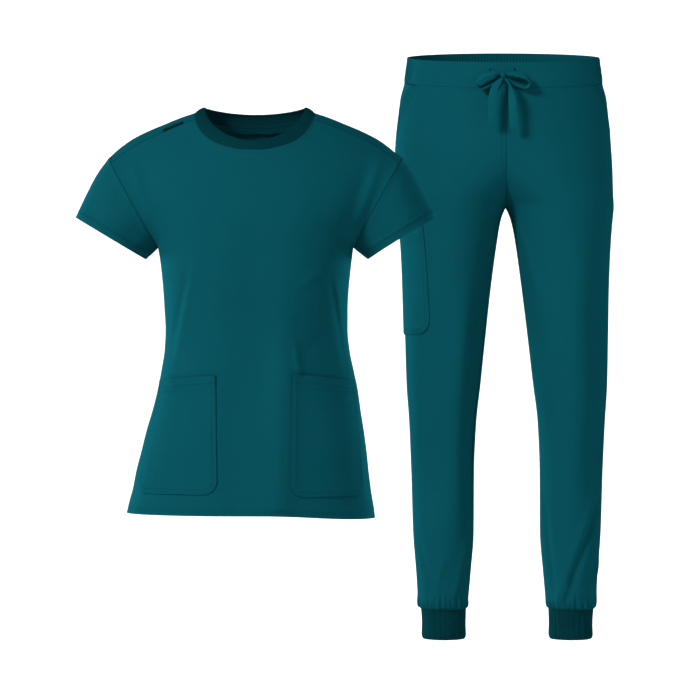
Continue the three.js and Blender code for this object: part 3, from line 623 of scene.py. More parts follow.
def gather(t, level):
    """Gathers round the ankle: uneven waves that grow towards the cuff."""
    uneven = t + 0.05 * np.sin(3.1 * t + 0.7) + 0.03 * np.sin(7.3 * t)
    size = 1.25 * (1 + 0.5 * np.sin(5.3 * t + 1.1))
    start = -862 + 9 * np.sin(4.1 * t + 0.4) + 5 * np.sin(9.7 * t)
    waves = size * ease(start, -885, level) * np.cos(GATHERS * uneven)
    small = 0.75 * ease(-870 + 5 * np.sin(9.3 * t), -886, level) * np.cos(67 * uneven + 0.5)
    return (waves + small) * (0.35 + 0.65 * ease(HEM_SEAM - 1, -888, level))


def leg_point(side, t, level, out=0.0):
    """A point of one leg's outer face; side is 1 for the wearer's left."""
    t, level = np.broadcast_arrays(np.asarray(t, float), np.asarray(level, float))
    radius = (leg["front"](level) + leg["back"](level)) / 2
    grow = out + gather(t, level) + folds(LEG_FOLDS[side], t, level, radius)
    outer, inner = leg["outer"](level), leg["inner"](level)
    across = (outer - inner) / 2 + grow
    deep = np.where(np.sin(t) > 0, leg["front"](level), leg["back"](level)) + grow
    y = leg["middleY"](level) - deep * np.sin(t)
    x = side * ((outer + inner) / 2 + across * np.cos(t)) + leg["drift"](level)
    return stack(x, y, level + leg["tilt"](level) * y)


def leg_middle(side):
    def middle(points):
        level = points[..., 2]
        x = side * (leg["outer"](level) + np.maximum(leg["inner"](level), -leg["outer"](level))) / 2
        return stack(x, leg["middleY"](level), level)

    return middle


def middle_seam(level):
    """The angle where a section reaches the middle seam; half a turn below the crotch."""
    outer, inner = leg["outer"](level), leg["inner"](level)
    reach = (outer + inner) / 2 - SEAM_GAP / 2
    return np.where(inner < SEAM_GAP / 2, np.arccos(np.clip(-reach / ((outer - inner) / 2), -1, 1)), PI)


def half_gap(level):
    return SEAM_GAP / 2 / leg["front"](level)


BAND_OUT = 0.8
band_front = float(leg_point(1, PI / 2, -18, BAND_OUT)[1])
print("front of the waistband at y", round(band_front, 1), "mm")

# %% [markdown]
# ## Drawstring
# A flat woven tape, 12 mm wide, comes out of two buttonholes and is tied in a bow. Each half is one tape:
# out of its hole, into the knot, round its loop, through the knot again and down to a cut, hemmed end. It
# is bunched up where the knot holds it, and stands off the cloth as a real bow does.

# %% Drawstring route
KNOT = (-6.0, -33.0)
KNOT_OFF = 11.0
# Columns: x and z from the knot, distance off the band, turn of the width from flat to edge on, and width.
BOW = {
    "stub_right": [(-20.5, 5.8, -0.2, 0, 5), (-13, 3.6, 3.5, 15, 5), (-5.7, 1.2, 8.3, 30, 4)],
    "stub_left": [(19, 6.6, 0.3, 0, 5), (13, 4, 3.5, -15, 5), (5.7, 1.2, 8.3, -30, 4)],
    "loop_right": [
        (-6, 1.5, 12, 52, 5),
        (-13, 2, 15, 50, 10),
        (-26, -0.5, 17, 46, 12),
        (-37, -5.5, 16.5, 52, 12),
        (-42, -13, 13.5, 85, 12),
        (-37, -20, 9.5, 120, 12),
        (-28, -18.5, 8, 124, 12),
        (-17, -12.5, 7.5, 126, 10),
        (-7, -3.5, 8, 128, 5),
    ],
    "loop_left": [
        (6, 1.5, 12, 128, 5),
        (14, 2, 15, 130, 10),
        (27, -0.5, 17, 134, 12),
        (38, -5, 16.5, 128, 12),
        (43, -12, 13.5, 95, 12),
        (38, -18.5, 9.5, 60, 12),
        (28, -17, 8, 56, 12),
        (17, -12, 7.5, 54, 10),
        (7, -3.5, 8, 52, 5),
    ],
    "end_right": [
        (-2.6, -6.8, 13, 30, 5),
        (-8, -13, 18, 20, 9),
        (-14, -22, 22, 10, 11),
        (-17.5, -36, 24.5, 3, 12),
        (-18.5, -54, 25, 0, 12),
        (-18, -78, 24, 0, 12),
    ],
    "end_left": [
        (3, -6.6, 12, 60, 5),
        (8, -14, 18, 80, 9),
        (11, -24, 22, 60, 11),
        (13.5, -40, 24.5, 30, 12),
        (15, -60, 25, 8, 12),
        (16, -86, 24, 5, 12),
    ],
}


def route(side):
    """One half of the drawstring as rows of point (mm), turn in degrees and width."""
    flip = 180 if side == "left" else 0
    loop = BOW[f"loop_{side}"]
    stub, end = BOW[f"stub_{side}"], BOW[f"end_{side}"]
    sign = -1 if side == "right" else 1
    rows = [*stub, (sign * 1.5, 0.5, 10.5, 30 + flip, 4), *loop]
    rows += [(sign * 2.0, -2.0, 9.5, loop[-1][3], 4), (sign * 1.2, -4.5, 11.5, end[0][3] + flip, 4)]
    rows += [(x, z, off, turn + flip, wide) for x, z, off, turn, wide in end]
    placed = [(KNOT[0] + x, band_front - off, KNOT[1] + z, turn, wide) for x, z, off, turn, wide in rows]
    return np.array(placed, float)


def spline(rows, per=10):
    """A smooth line through rows of numbers, with the same number of steps between each two."""
    padded = np.concatenate([2 * rows[:1] - rows[1:2], rows, 2 * rows[-1:] - rows[-2:-1]])
    made = []
    for i in range(1, len(padded) - 2):
        p0, p1, p2, p3 = padded[i - 1 : i + 3]
        for k in np.arange(per) / per:
            bend = 2 * p0 - 5 * p1 + 4 * p2 - p3
            turn = 3 * p1 - p0 - 3 * p2 + p3
            made.append(0.5 * (2 * p1 + (p2 - p0) * k + bend * k**2 + turn * k**3))
    made.append(padded[-2])
    return np.array(made)


# %% Drawstring tapes
TAPE_THICK = 1.5


def tape_piece(side):
    rows = route(side)
    rows[:, 3] = np.degrees(np.unwrap(np.radians(rows[:, 3]), period=PI))
    line = spline(rows, 8)
    path, turn, wide = line[:, :3], np.radians(line[:, 3]), line[:, 4]
    along = unit(np.gradient(path, axis=0))
    flat = unit(np.cross(np.array([0.0, -1.0, 0.0]), along))
    for i in range(1, len(flat)):
        if flat[i] @ flat[i - 1] < 0:
            flat[i] = -flat[i]
    other = np.cross(along, flat)
    across = flat * np.cos(turn)[:, None] + other * np.sin(turn)[:, None]
    normal = np.cross(along, across)
    face = [(-1, 0.35), (-0.86, 0.5), (0, 0.5), (0.86, 0.5), (1, 0.35)]
    section = face + [(w, -h) for w, h in reversed(face)]
    ring = [path + across * (w * wide / 2)[:, None] + normal * (h * TAPE_THICK) for w, h in section]
    points = np.stack(ring, axis=1)
    count, sides = points.shape[:2]
    index = np.arange(count * sides).reshape(count, sides)
    loop = np.concatenate([index, index[:, :1]], axis=1)
    caps = np.array([(0, 1, 8, 9), (1, 2, 7, 8), (2, 3, 6, 7), (3, 4, 5, 6)])
    faces = np.concatenate([other_way(quads(loop)), index[0][caps], index[-1][caps][:, ::-1]])
    faces = facing_out(points.reshape(-1, 3), faces)
    far = np.concatenate([[0], np.cumsum(np.linalg.norm(np.diff(path, axis=0), axis=1))])
    lines = [np.stack([w * wide / 2, far], axis=-1) for w, _ in section]
    uv = np.stack(lines, axis=1).reshape(-1, 2)
    mesh = new_mesh(f"drawstring_{side}", points.reshape(-1, 3), faces, uv)
    nodes = [f"drawstring_stub_{side}", f"bow_loop_{side}", f"drawstring_end_{side}"]
    made = piece(f"drawstring_{side}_tape", mesh, TAPE, nodes)
    return made, path * MM, far[-1] * MM


def knot_piece():
    """The knot: a small lump of tape with two wraps pulled round it."""
    ball = bmesh.new()
    bmesh.ops.create_uvsphere(ball, u_segments=40, v_segments=24, radius=1)
    for v in ball.verts:
        x, y, z = v.co
        wrap = 1 + 0.07 * np.cos(9 * (x + 0.35 * z)) * (1 - abs(z) ** 3)
        waist = 1 - 0.14 * np.exp(-((z / 0.35) ** 2))
        v.co = Vector((x * 4.6 * wrap * waist, y * 5.6 * wrap, z * 5.4))
        v.co += Vector((KNOT[0], band_front - KNOT_OFF, KNOT[1] - 1))
        v.co *= MM
    mesh = bpy.data.meshes.new("bow_knot")
    ball.to_mesh(mesh)
    ball.free()
    mesh.polygons.foreach_set("use_smooth", np.ones(len(mesh.polygons), bool))
    mesh.uv_layers.new(name="flat_cloth")
    return piece("bow_knot_tape", mesh, TAPE, ["bow_knot"])


knot = knot_piece()
for side in ("right", "left"):
    tape, path, length = tape_piece(side)
    print(f"drawstring, {side} half: {length * 1000:.0f} mm")

# %% [markdown]
# ## Trouser legs
# Each leg is cut as a front and a back. The front's upper outer corner is cut away on a slant, which
# makes the mouth of the hip pocket, and the pocket's facing fills that corner from behind. The mouth's
# edge stands a little proud, as a bias edge does once it has been worn.

# %% Leg panels
MOUTH_TOP, MOUTH_END = 0.47, -112


def mouth(level):
    k = np.clip((WAIST_SEAM - level) / (WAIST_SEAM - MOUTH_END), 0, 1)
    return lerp(MOUTH_TOP, seams["outseam"](MOUTH_END), k)


def front_edge(level):
    return np.maximum(mouth(np.maximum(level, MOUTH_END)), seams["outseam"](level))


def inseam(level, face):
    below = PI - face * seams["inseam"](level)
    return face * (np.where(level > CROTCH, middle_seam(level), below) - half_gap(level))


PANEL_TOP = WAIST_SEAM - SEAM_GAP / 2
PANEL_END = HEM_SEAM + SEAM_GAP / 2
# The rows lie closer together where the ankle is gathered.
GATHERED = -850
plain_levels = np.linspace(PANEL_TOP, GATHERED, 196)
close_levels = np.linspace(GATHERED, PANEL_END, 31)
LEG_LEVELS = np.concatenate([plain_levels, close_levels[1:]])[:, None]


def leg_panel(side, face):
    across = np.linspace(0, 1, 91)[None, :]
    if face > 0:
        start = front_edge(LEG_LEVELS) + half_gap(LEG_LEVELS)
    else:
        start = seams["outseam"](LEG_LEVELS) - half_gap(LEG_LEVELS)
    t = lerp(start, inseam(LEG_LEVELS, face), across)
    gape = np.clip((WAIST_SEAM - LEG_LEVELS) / (WAIST_SEAM - MOUTH_END), 0, 1)
    proud = {1: 1.6, -1: 0.8}[side] if face > 0 else 0
    lift = proud * np.sin(PI * gape) * np.exp(-((across / 0.09) ** 2))
    return Panel(leg_point(side, t, LEG_LEVELS, lift), leg_middle(side))


SIDES = {"left": 1, "right": -1}
ALL_SIDES = ["left", "right", "top", "end"]
# The mouth is stitched twice, the middle seam once on the right leg, and the gathered end
# just above its cuff.
LEG_ROWS = {
    ("front", "left"): [("left", 2, 0, 0.082), ("left", 8, 0, 0.082), ("end", 4, 0, 1)],
    ("front", "right"): [
        ("left", 2, 0, 0.082), ("left", 8, 0, 0.082), ("right", 8.6, 0, 0.215), ("end", 4, 0, 1)
    ],
    ("back", "left"): [("right", 8, 0, 0.215), ("end", 4, 0, 1)],
    ("back", "right"): [("end", 4, 0, 1)],
}
for name, side in SIDES.items():
    for face_name, face in (("front", 1), ("back", -1)):
        shell(
            f"leg_{face_name}_{name}_cloth",
            leg_panel(side, face),
            WALL,
            ALL_SIDES,
            TWILL,
            [f"leg_{face_name}_{name}"],
            rows=LEG_ROWS[face_name, name],
        )

# %% Hip pocket facings
for name, side in SIDES.items():
    levels = np.linspace(PANEL_TOP - 0.8, MOUTH_END + 2, 24)[:, None]
    across = np.linspace(0, 1, 19)[None, :]
    t = lerp(seams["outseam"](levels) + half_gap(levels), mouth(levels) + 0.14, across)
    sunk = -(WALL + 2) * ease(mouth(levels) - 0.15, mouth(levels) - 0.05, t)
    facing = Panel(leg_point(side, t, levels, sunk), leg_middle(side))
    shell(
        f"hip_pocket_{name}_cloth",
        facing,
        WALL,
        ["left", "top"],
        TWILL,
        [f"hip_pocket_{name}"],
    )

# %% [markdown]
# The waistband is flat in front, where the drawstring is tied, and gathered on elastic from side to side
# round the back. The gathers show inside the band too, which the raised back edge lets you see.

# %% Waistband
BAND_END = 0.33
band_levels = np.linspace(WAIST_SEAM + SEAM_GAP / 2, WAIST_TOP, 13)[:, None]
roll = BAND_OUT * np.sin(PI * np.linspace(0.04, 0.96, 13)[:, None]) ** 0.5
end_gap = float(half_gap(0))


def hips_middle(points):
    return stack(0, 0, points[..., 2])


t = np.linspace(BAND_END + end_gap, PI - BAND_END - end_gap, 121)[None, :]
flat_band = Panel(leg_point(1, t, band_levels, roll), hips_middle)
shell(
    "waistband_front_cloth",
    flat_band,
    2.2,
    ["left", "right", "end"],
    TWILL,
    ["waistband_front"],
)

u = np.linspace(0, 1, 781)[None, :]
t = lerp(BAND_END - end_gap, end_gap - PI - BAND_END, u)
calm = ease(0, 0.01, u) * ease(0, 0.01, 1 - u)
wander = u + 0.0022 * np.sin(23 * u) + 0.0016 * np.sin(61 * u + 1)
pinch = 0.55 + 0.45 * np.sin(PI * np.linspace(0, 1, 13)[:, None])
near_end = np.exp(-((u / 0.06) ** 2)) + np.exp(-(((1 - u) / 0.06) ** 2))
crumple = 2.1 * calm * near_end * np.sin(2 * PI * (band_levels / 13 + 19 * u)) * pinch
waves = crumple + 1.15 * calm * pinch * (0.75 + 0.12 * np.sin(37 * u)) * np.cos(2 * PI * 118 * wander)
gathered_band = Panel(leg_point(1, t, band_levels, roll + waves), hips_middle)
shell(
    "waistband_back_cloth",
    gathered_band,
    2.2,
    ["left", "right"],
    TWILL,
    ["waistband_back"],
    cut=(gathered_band.width * 1.02, gathered_band.length),
)

# %% [markdown]
# Rib knit cuffs hold the gathered ankles. The knit is folded in half, so its lower edge is a soft round
# fold.

# %% Ankle cuffs
for name, side in SIDES.items():
    levels = np.linspace(HEM_SEAM - SEAM_GAP / 2, CUFF_END, 26)[:, None]
    t = np.linspace(0, 2 * PI, 161)[None, :]
    creases = [
        (1.0, -890, 1.6, -930, 9, -1.2),
        (2.3, -893, 1.9, -925, 8, 1.1),
        (-1.2, -890, -1.8, -935, 9, -1.2),
        (-2.4, -892, -2.0, -928, 8, 1.0),
    ]
    out = -0.9 * ease(CUFF_END + 2.5, CUFF_END, levels) - 0.5 * ease(HEM_SEAM - 3, HEM_SEAM, levels)
    out = out + folds(creases, t, levels, 36)
    cuff = Panel(leg_point(side, t, levels, out), leg_middle(side), ring=True)
    shell(
        f"cuff_{name}_knit",
        cuff,
        2.2,
        ["top"],
        RIB,
        [f"cuff_{name}"],
    )

# %% [markdown]
# A cargo pocket is laid over the outseam of the right leg and sewn down on three sides.

# %% Cargo pocket
CARGO = {"top": -270, "bottom": -446, "round": 26, "behind": -0.72, "front_top": 0.94, "front_end": 1.16}


def rounded_in(from_end, radius):
    near = np.clip(from_end, 0, radius)
    return np.where(
        from_end < radius, radius - np.sqrt(np.maximum(radius**2 - (radius - near) ** 2, 0)), 0
    )


def rows_to_round_end(height, radius, step=4.0):
    """Places down a pocket that crowd together in its rounded corners."""
    straight = np.linspace(0, height - radius, int((height - radius) / step) + 1)
    bend = height - radius + radius * np.sin(np.linspace(0, PI / 2, 13))[1:]
    return np.concatenate([straight, bend])[:, None]


height = CARGO["top"] - CARGO["bottom"]
down = rows_to_round_end(height, CARGO["round"])
levels = CARGO["top"] - down
inset = rounded_in(height - down, CARGO["round"]) / leg["front"](levels)
forward = lerp(CARGO["front_top"], CARGO["front_end"], down / height)
across = np.linspace(0, 1, 49)[None, :]
t = lerp(CARGO["behind"] + inset, forward - inset, across)
lift = WALL + LAY_GAP + 0.5 + 1.6 * np.exp(-((down / 18) ** 2)) * np.sin(PI * across)
edge_down = np.minimum(np.minimum(across, 1 - across) * 48, (height - down) / 2)
lift = lift - 1.3 * np.exp(-(edge_down**2))
cargo = Panel(leg_point(-1, t, levels, lift), leg_middle(-1))
cargo_rows = [("top", 18, 0, 1), ("top", 24, 0, 1), ("around", 8, 0, 1)]
shell(
    "cargo_pocket_cloth",
    cargo,
    WALL,
    ALL_SIDES,
    TWILL,
    ["cargo_pocket"],
    rows=cargo_rows,
)

# %% [markdown]
# ## Sections of the top
# Below the armholes the body is a row of flattened ovals, wide at the hem, drawn in at the waist and full
# at the chest. Above, its depth falls away to the shoulder ridge. A point there is given by x and by
# `over`, whose square is its distance below the ridge: positive on the front, negative on the back, so
# that the back panel runs smoothly over the shoulder to a seam that lies in front of it.

# %% Body sections
TOP_X, TOP_Y = -400, -125
HEM, UNDERARM = -728, -309
body = table(
    ["level", "right", "left", "front", "back", "round"],
    [
        [UNDERARM, 153, 156, 118, 112, 2.3],
        [-328, 150, 153.5, 118, 111, 2.3],
        [-344, 148, 151.7, 118, 109, 2.25],
        [-376, 145, 148.5, 116, 104, 2.2],
        [-408, 143, 147, 112, 99, 2.15],
        [-439, 141.5, 147, 109, 96, 2.1],
        [-471, 143, 150, 108, 96, 2.1],
        [-503, 148, 156.5, 109, 99, 2.1],
        [-534, 154, 163, 111, 103, 2.1],
        [-566, 162, 167.5, 113, 107, 2.1],
        [-598, 171.5, 172.5, 115, 110, 2.1],
        [-630, 179.5, 177, 116, 112, 2.1],
        [-661, 187.5, 180.5, 117, 113, 2.1],
        [-693, 194, 185, 117, 113, 2.1],
        [-709, 198.5, 188, 117, 113, 2.1],
        [HEM, 203, 190.5, 117, 113, 2.1],
    ],
)
upper = table(
    ["level", "front", "back"],
    [
        [UNDERARM, 118, 112],
        [-270, 116, 114],
        [-230, 108, 113],
        [-190, 97, 108],
        [-150, 87, 99],
        [-110, 80, 91],
        [-60, 76, 86],
    ],
)
ridge = curve(
    [0, 40, 70, 96, 117, 143, 168, 193, 206, 219, 231, 260],
    [-74, -79, -88, -96, -103, -113.6, -124, -136.6, -145.3, -155.6, -166.5, -190],
)
SHOULDER_ROUND, ARMHOLE_DEPTH = 130, 62


class Armhole:
    """One armhole: a straight line in front view, and an ellipse about it."""

    def __init__(self, side):
        self.low = np.array([156.0 if side > 0 else -153.0, UNDERARM])
        self.high = np.array([234.0 if side > 0 else -231.0, -166.5])
        self.half = np.linalg.norm(self.high - self.low) / 2
        self.middle = (self.low + self.high) / 2
        self.dir = (self.high - self.low) / 2 / self.half

    def x_at(self, level):
        k = np.clip((level - self.low[1]) / (self.high[1] - self.low[1]), 0, 1)
        return lerp(self.low[0], self.high[0], k)

    def ring(self, angle):
        c, s = np.cos(angle), np.sin(angle)
        x, z = (self.middle[i] + self.dir[i] * self.half * c for i in (0, 1))
        return stack(x, -ARMHOLE_DEPTH * s, z)


ARMHOLES = {1: Armhole(1), -1: Armhole(-1)}
# x and level at the start and end, half width and height. The front first, then the back.
BODY_FOLDS = {
    1: [
        (-96, -325, -136, -500, 5, -4.2),
        (-87, -320, -127, -510, 6.5, 4),
        (118, -345, 150, -530, 4.5, -4.2),
        (125.5, -340, 157, -550, 5, 4.6),
        (2, -215, 2, -640, 46, -6.5),
        (-29, -480, -26, -745, 22, -3, 0.3, 0.1),
        (50, -370, 44, -745, 24, 6.5, 0.3, 0.1),
        (63, -440, 73, -514, 6, 3.4, 0.6, 0.06),
        (-120, -465, -113, -518, 8, -2.6, 0.6, 0.06),
        (162, -590, 184, -735, 6, 3.5, 0.3, 0.1),
        (-160, -600, -186, -735, 8, 2.5, 0.3, 0.1),
        (-126, -326, -60, -378, 12, 2),
        (128, -326, 66, -384, 12, 2),
        (-122, -430, -80, -470, 10, -1.5),
        (124, -436, 80, -478, 10, -1.5),
    ],
    -1: [
        (-120, -330, -90, -600, 16, 5),
        (118, -360, 80, -620, 16, 5),
        (0, -350, 14, -640, 24, -5),
        (-60, -540, -70, -760, 26, 4),
        (90, -540, 100, -760, 28, 4),
        (-110, -430, 0, -470, 12, -2.5),
        (112, -440, 20, -486, 12, -2.5),
    ],
}
# Where a dropped shoulder folds beside the armhole seam.
ARM_FOLDS = {
    1: [
        (-202, -140, -154, -304, 9, 4.5),
        (-178, -170, -132, -306, 12, -1.2),
        (208, -142, 156, -304, 9, 5.5),
        (184, -170, 134, -306, 12, -2.5),
    ],
    -1: [
        (-196, -160, -150, -304, 12, 4),
        (198, -160, 152, -304, 12, 4),
        (-170, -170, -120, -300, 14, -3),
        (172, -170, 124, -300, 14, -3),
    ],
}


def body_fold(face, x, z):
    return folds(BODY_FOLDS[face], x, z)


SIDE_GAP = 0.03


def section_point(face, angle, z, out=0.0):
    """A point of the lower body: angle 0 is the right side seam, half a turn the left one."""
    right, left, n = body["right"](z) + out, body["left"](z) + out, body["round"](z)
    c = -np.cos(angle)
    x = (left - right) / 2 + ((left + right) / 2) * np.sign(c) * np.abs(c) ** (2 / n)
    deep = (body["front"](z) if face > 0 else body["back"](z)) + out + body_fold(face, x, z)
    y = -face * (SIDE_GAP / 2 + deep * np.maximum(0, np.sin(angle)) ** (2 / n))
    return stack(x, y, z)


def body_depth(face, x, z):
    """How far the upper body stands in front of or behind its middle plane."""
    left = x >= 0
    edge = np.abs(np.where(left, ARMHOLES[1].x_at(z), ARMHOLES[-1].x_at(z)))
    k = np.clip(np.abs(x) / edge, 0, 1)
    deep = (upper["front"](z) if face > 0 else upper["back"](z)) + body_fold(face, x, z)
    drop = np.clip((ridge(np.abs(x)) - z) / SHOULDER_ROUND, 0, 1)
    torso = deep * (1 - k**2.3) ** (1 / 2.3) * np.sqrt(1 - (1 - drop) ** 2)
    arm = np.zeros_like(torso)
    for side, here in ((1, left), (-1, ~left)):
        a = ARMHOLES[side]
        along = ((x - a.middle[0]) * a.dir[0] + (z - a.middle[1]) * a.dir[1]) / a.half
        away = np.abs((x - a.middle[0]) * a.dir[1] - (z - a.middle[1]) * a.dir[0])
        reach = ARMHOLE_DEPTH * np.sqrt(np.maximum(0, 1 - along**2)) * np.maximum(0, 1 - (away / 90) ** 2)
        arm = np.where(here, reach, arm)
    return (torso**5 + arm**5) ** 0.2 + folds(ARM_FOLDS[face], x, z) * (1 - k**10) * np.sqrt(drop)


def over_point(x, over):
    x, over = np.broadcast_arrays(np.asarray(x, float), np.asarray(over, float))
    z = ridge(np.abs(x)) - over**2
    y = np.where(over >= 0, -body_depth(1, x, z), body_depth(-1, x, z))
    return stack(x, y, z)


def over_normal(x, over):
    a = over_point(x + 0.6, over) - over_point(x - 0.6, over)
    b = over_point(x, over + 0.03) - over_point(x, over - 0.03)
    return -unit(np.cross(a, b))


def over_of(face, x, z):
    return face * np.sqrt(np.maximum(0, ridge(np.abs(x)) - z))


# %% Neckline and shoulder seams
NECK_HALF, FRONT_DROP, BACK_DROP, SEAM_OVER, ARM_CORNER = 95, 9.2, 6, 3.6, 0.56
NECK_CORNER = float(np.arcsin((SEAM_OVER / FRONT_DROP) ** (1 / 0.6)))


def neckline(a):
    """The neckline seam by angle: 0 on the left shoulder, a quarter turn at the front."""
    s = np.sin(a)
    return NECK_HALF * np.cos(a), np.where(s > 0, FRONT_DROP * np.abs(s) ** 0.6, -BACK_DROP * np.abs(s))


def relax(points, row, reach):
    """Evens out the depth of the rows about one row, and leaves the side edges alone."""
    count, columns = points.shape[:2]
    places = np.arange(columns)
    near = np.exp(-(((np.arange(count) - row) / reach) ** 2))[:, None]
    near = near * ease(0, 7, np.minimum(places, columns - 1 - places))[None, :]
    y = points[..., 1]
    for _ in range(60):
        even = y.copy()
        even[1:-1] = (y[:-2] + 2 * y[1:-1] + y[2:]) / 4
        y = lerp(y, even, near)
    points[..., 1] = y
    return points


def body_panel(face):
    """The net of one body panel, from its hem up to the shoulder seams and the neckline."""
    neck_from, neck_to = 0.27, 0.73
    across = np.linspace(0, 1, 137)
    low_levels = np.linspace(HEM, UNDERARM, 108)[:, None]
    low = section_point(face, PI * across[None, :], low_levels)
    bottom_x = section_point(face, PI * across, UNDERARM)[:, 0]
    bottom = np.stack([bottom_x, over_of(face, bottom_x, UNDERARM)], axis=-1)

    def arm_edge(side, angle):
        p = ARMHOLES[side].ring(angle)
        return np.stack([p[..., 0], over_of(np.where(angle >= 0, 1, -1), p[..., 0], p[..., 2])], axis=-1)

    k = np.clip((across - neck_from) / (neck_to - neck_from), 0, 1)
    slow = k - (0.4 if face > 0 else 0.8) * np.sin(2 * PI * k) / (2 * PI)
    neck_angle = lerp(PI - NECK_CORNER, NECK_CORNER if face > 0 else 2 * PI + NECK_CORNER, slow)
    top = np.stack(neckline(neck_angle), axis=-1)
    shoulders = (
        (-1, across < neck_from, across / neck_from),
        (1, across > neck_to, (1 - across) / (1 - neck_to)),
    )
    for side, mask, k in shoulders:
        outer = arm_edge(side, np.array(ARM_CORNER))
        inner = np.array(neckline(NECK_CORNER if side > 0 else PI - NECK_CORNER))
        line = lerp(outer, inner, k[:, None]) + np.array([0, face * 0.02])
        top = np.where(mask[:, None], line, top)
    v = np.linspace(0, 1, 56)[1:]
    angle = lerp(face * PI, ARM_CORNER, v)
    left, right = arm_edge(-1, angle)[:, None], arm_edge(1, angle)[:, None]
    corners = [arm_edge(s, np.array(ARM_CORNER)) for s in (-1, 1)]
    u = across[None, :, None]
    w = v[:, None, None]
    net = lerp(bottom[None], top[None], w)
    net = net + (1 - u) ** 3 * (left - lerp(bottom[0], corners[0], w))
    net = net + u**3 * (right - lerp(bottom[-1], corners[1], w))
    high = over_point(net[..., 0], net[..., 1])
    high[:, 0] = ARMHOLES[-1].ring(angle)
    high[:, -1] = ARMHOLES[1].ring(angle)
    net = relax(np.concatenate([low, high]), len(low) - 0.5, 5)
    dropped = 8 * ease(0.1, 1, net[..., 0] / 190) * ease(-600, HEM, net[..., 2])
    net[..., 2] -= dropped
    return net[::-1]


def top_middle(points):
    return stack(TOP_X, TOP_Y, np.minimum(points[..., 2], -170) - 20)


PLACE = np.array([TOP_X, TOP_Y, 0.0])
for face_name, face in (("front", 1), ("back", -1)):
    panel = Panel(body_panel(face) + PLACE, top_middle)
    shell(
        f"top_{face_name}_cloth",
        panel,
        WALL,
        ["left", "right", "top"],
        TWILL,
        [f"top_{face_name}"],
        rows=[("end", 8.8, 0, 1), ("end", 13, 0, 1), ("top", 5.5, 0.27, 0.73)],
    )

# %% [markdown]
# Each sleeve is a short tube that falls from its armhole ring to a hem ring, turned down and out. The
# soft ridges that run from the shoulder to the hem are where a dropped shoulder folds when the arm hangs.

# %% Sleeves
SLEEVES = {
    1: table(
        ["at", "topX", "topZ", "lowX", "lowZ", "deep"],
        [
            [0, 234, -166.5, 156, UNDERARM, 62],
            [0.3, 252, -193, 163, -315, 61],
            [0.6, 268.5, -222, 170, -320.5, 59],
            [1, 288.5, -260.5, 179, -327.5, 56],
        ],
    ),
    -1: table(
        ["at", "topX", "topZ", "lowX", "lowZ", "deep"],
        [
            [0, 231, -166.5, 153, UNDERARM, 62],
            [0.3, 250, -193, 159, -315, 61],
            [0.6, 265.5, -222, 165, -320.5, 59],
            [1, 284, -261, 173, -327.5, 56],
        ],
    ),
}
SLEEVE_FOLDS = {
    1: [
        (0.9, 0.02, 1.35, 0.98, 20, 2.2),
        (2.0, 0.02, 1.9, 0.98, 15, -2),
        (-1.2, 0.02, -1.5, 0.98, 18, 3),
        (-2.4, 0.0, -2.1, 0.9, 12, -2.5),
    ],
    -1: [
        (1.0, 0.02, 1.4, 0.98, 20, 2.2),
        (2.1, 0.02, 2.0, 0.98, 15, -2),
        (-1.3, 0.02, -1.4, 0.98, 18, 3),
        (-2.4, 0.0, -2.2, 0.9, 12, -2.5),
    ],
}


def sleeve_point(side, angle, along, out=0.0):
    lines = SLEEVES[side]
    at = along * (1 - 0.06 * np.maximum(0, -np.sin(angle)))  # the back hem is drawn up a little
    high = stack(side * lines["topX"](at), 0, lines["topZ"](at))
    low = stack(side * lines["lowX"](at), 0, lines["lowZ"](at))
    half = (high - low) / 2
    grow = out + folds(SLEEVE_FOLDS[side], angle, at, 60)
    reach = 1 + grow / np.linalg.norm(half, axis=-1)
    p = (high + low) / 2 + half * (np.cos(angle) * reach)[..., None]
    p[..., 1] = -(lines["deep"](at) + grow) * np.sin(angle)
    return p


def sleeve_middle(side):
    above_and_below = sleeve_point(side, np.array([0, PI]), np.array([0.5, 0.5]))
    middle = above_and_below.mean(axis=0) + PLACE
    return lambda points: np.broadcast_to(middle, points.shape)


sleeve_rows = [("end", 10, 0, 1), ("end", 12.5, 0, 1)]
for name, side in SIDES.items():
    at = np.concatenate([np.linspace(0.004, 0.6, 18, endpoint=False), np.linspace(0.6, 1, 62)])
    angle, at = np.meshgrid(np.linspace(PI, -PI, 181), at)
    sleeve = Panel(sleeve_point(side, angle, at) + PLACE, sleeve_middle(side), ring=True)
    shell(
        f"sleeve_{name}_cloth",
        sleeve,
        WALL,
        ["top"],
        TWILL,
        [f"sleeve_{name}"],
        rows=sleeve_rows,
    )

# %% [markdown]
# The neckband is rib knit, folded in half and stretched a little, so it stands up from its seam and leans
# in.

# %% Neckband and neck tape
a = np.linspace(0, 2 * PI, 361)[None, :]
x, over = neckline(a)
seam_line = over_point(x, over)
seam_normal = over_normal(x, over)
s = np.sin(a)
rim = np.where(
    (s > 0)[..., None],
    stack(79.5 * np.cos(a), -78 * s, -86 - 58 * np.abs(s) ** 1.2),
    stack(79.5 * np.cos(a), -57 * s, -86 - 7 * s * s),
)
k = np.linspace(0, 1, 13)[:, None, None]
foot = seam_line + unit(rim - seam_line) * SEAM_GAP
band = lerp(foot, rim, k) + seam_normal * (1.6 * np.sin(PI * k) - 0.7 * ease(0.9, 1, k))
allowance = seam_line - unit(rim - seam_line) * 3 - seam_normal * (WALL + 0.6)
band = np.concatenate([allowance, band])
neckband = Panel(band[::-1] + PLACE, lambda p: stack(TOP_X, TOP_Y, p[..., 2] - 60), ring=True)
shell(
    "neckband_knit",
    neckband,
    2.2,
    ["end"],
    RIB,
    ["neckband"],
)

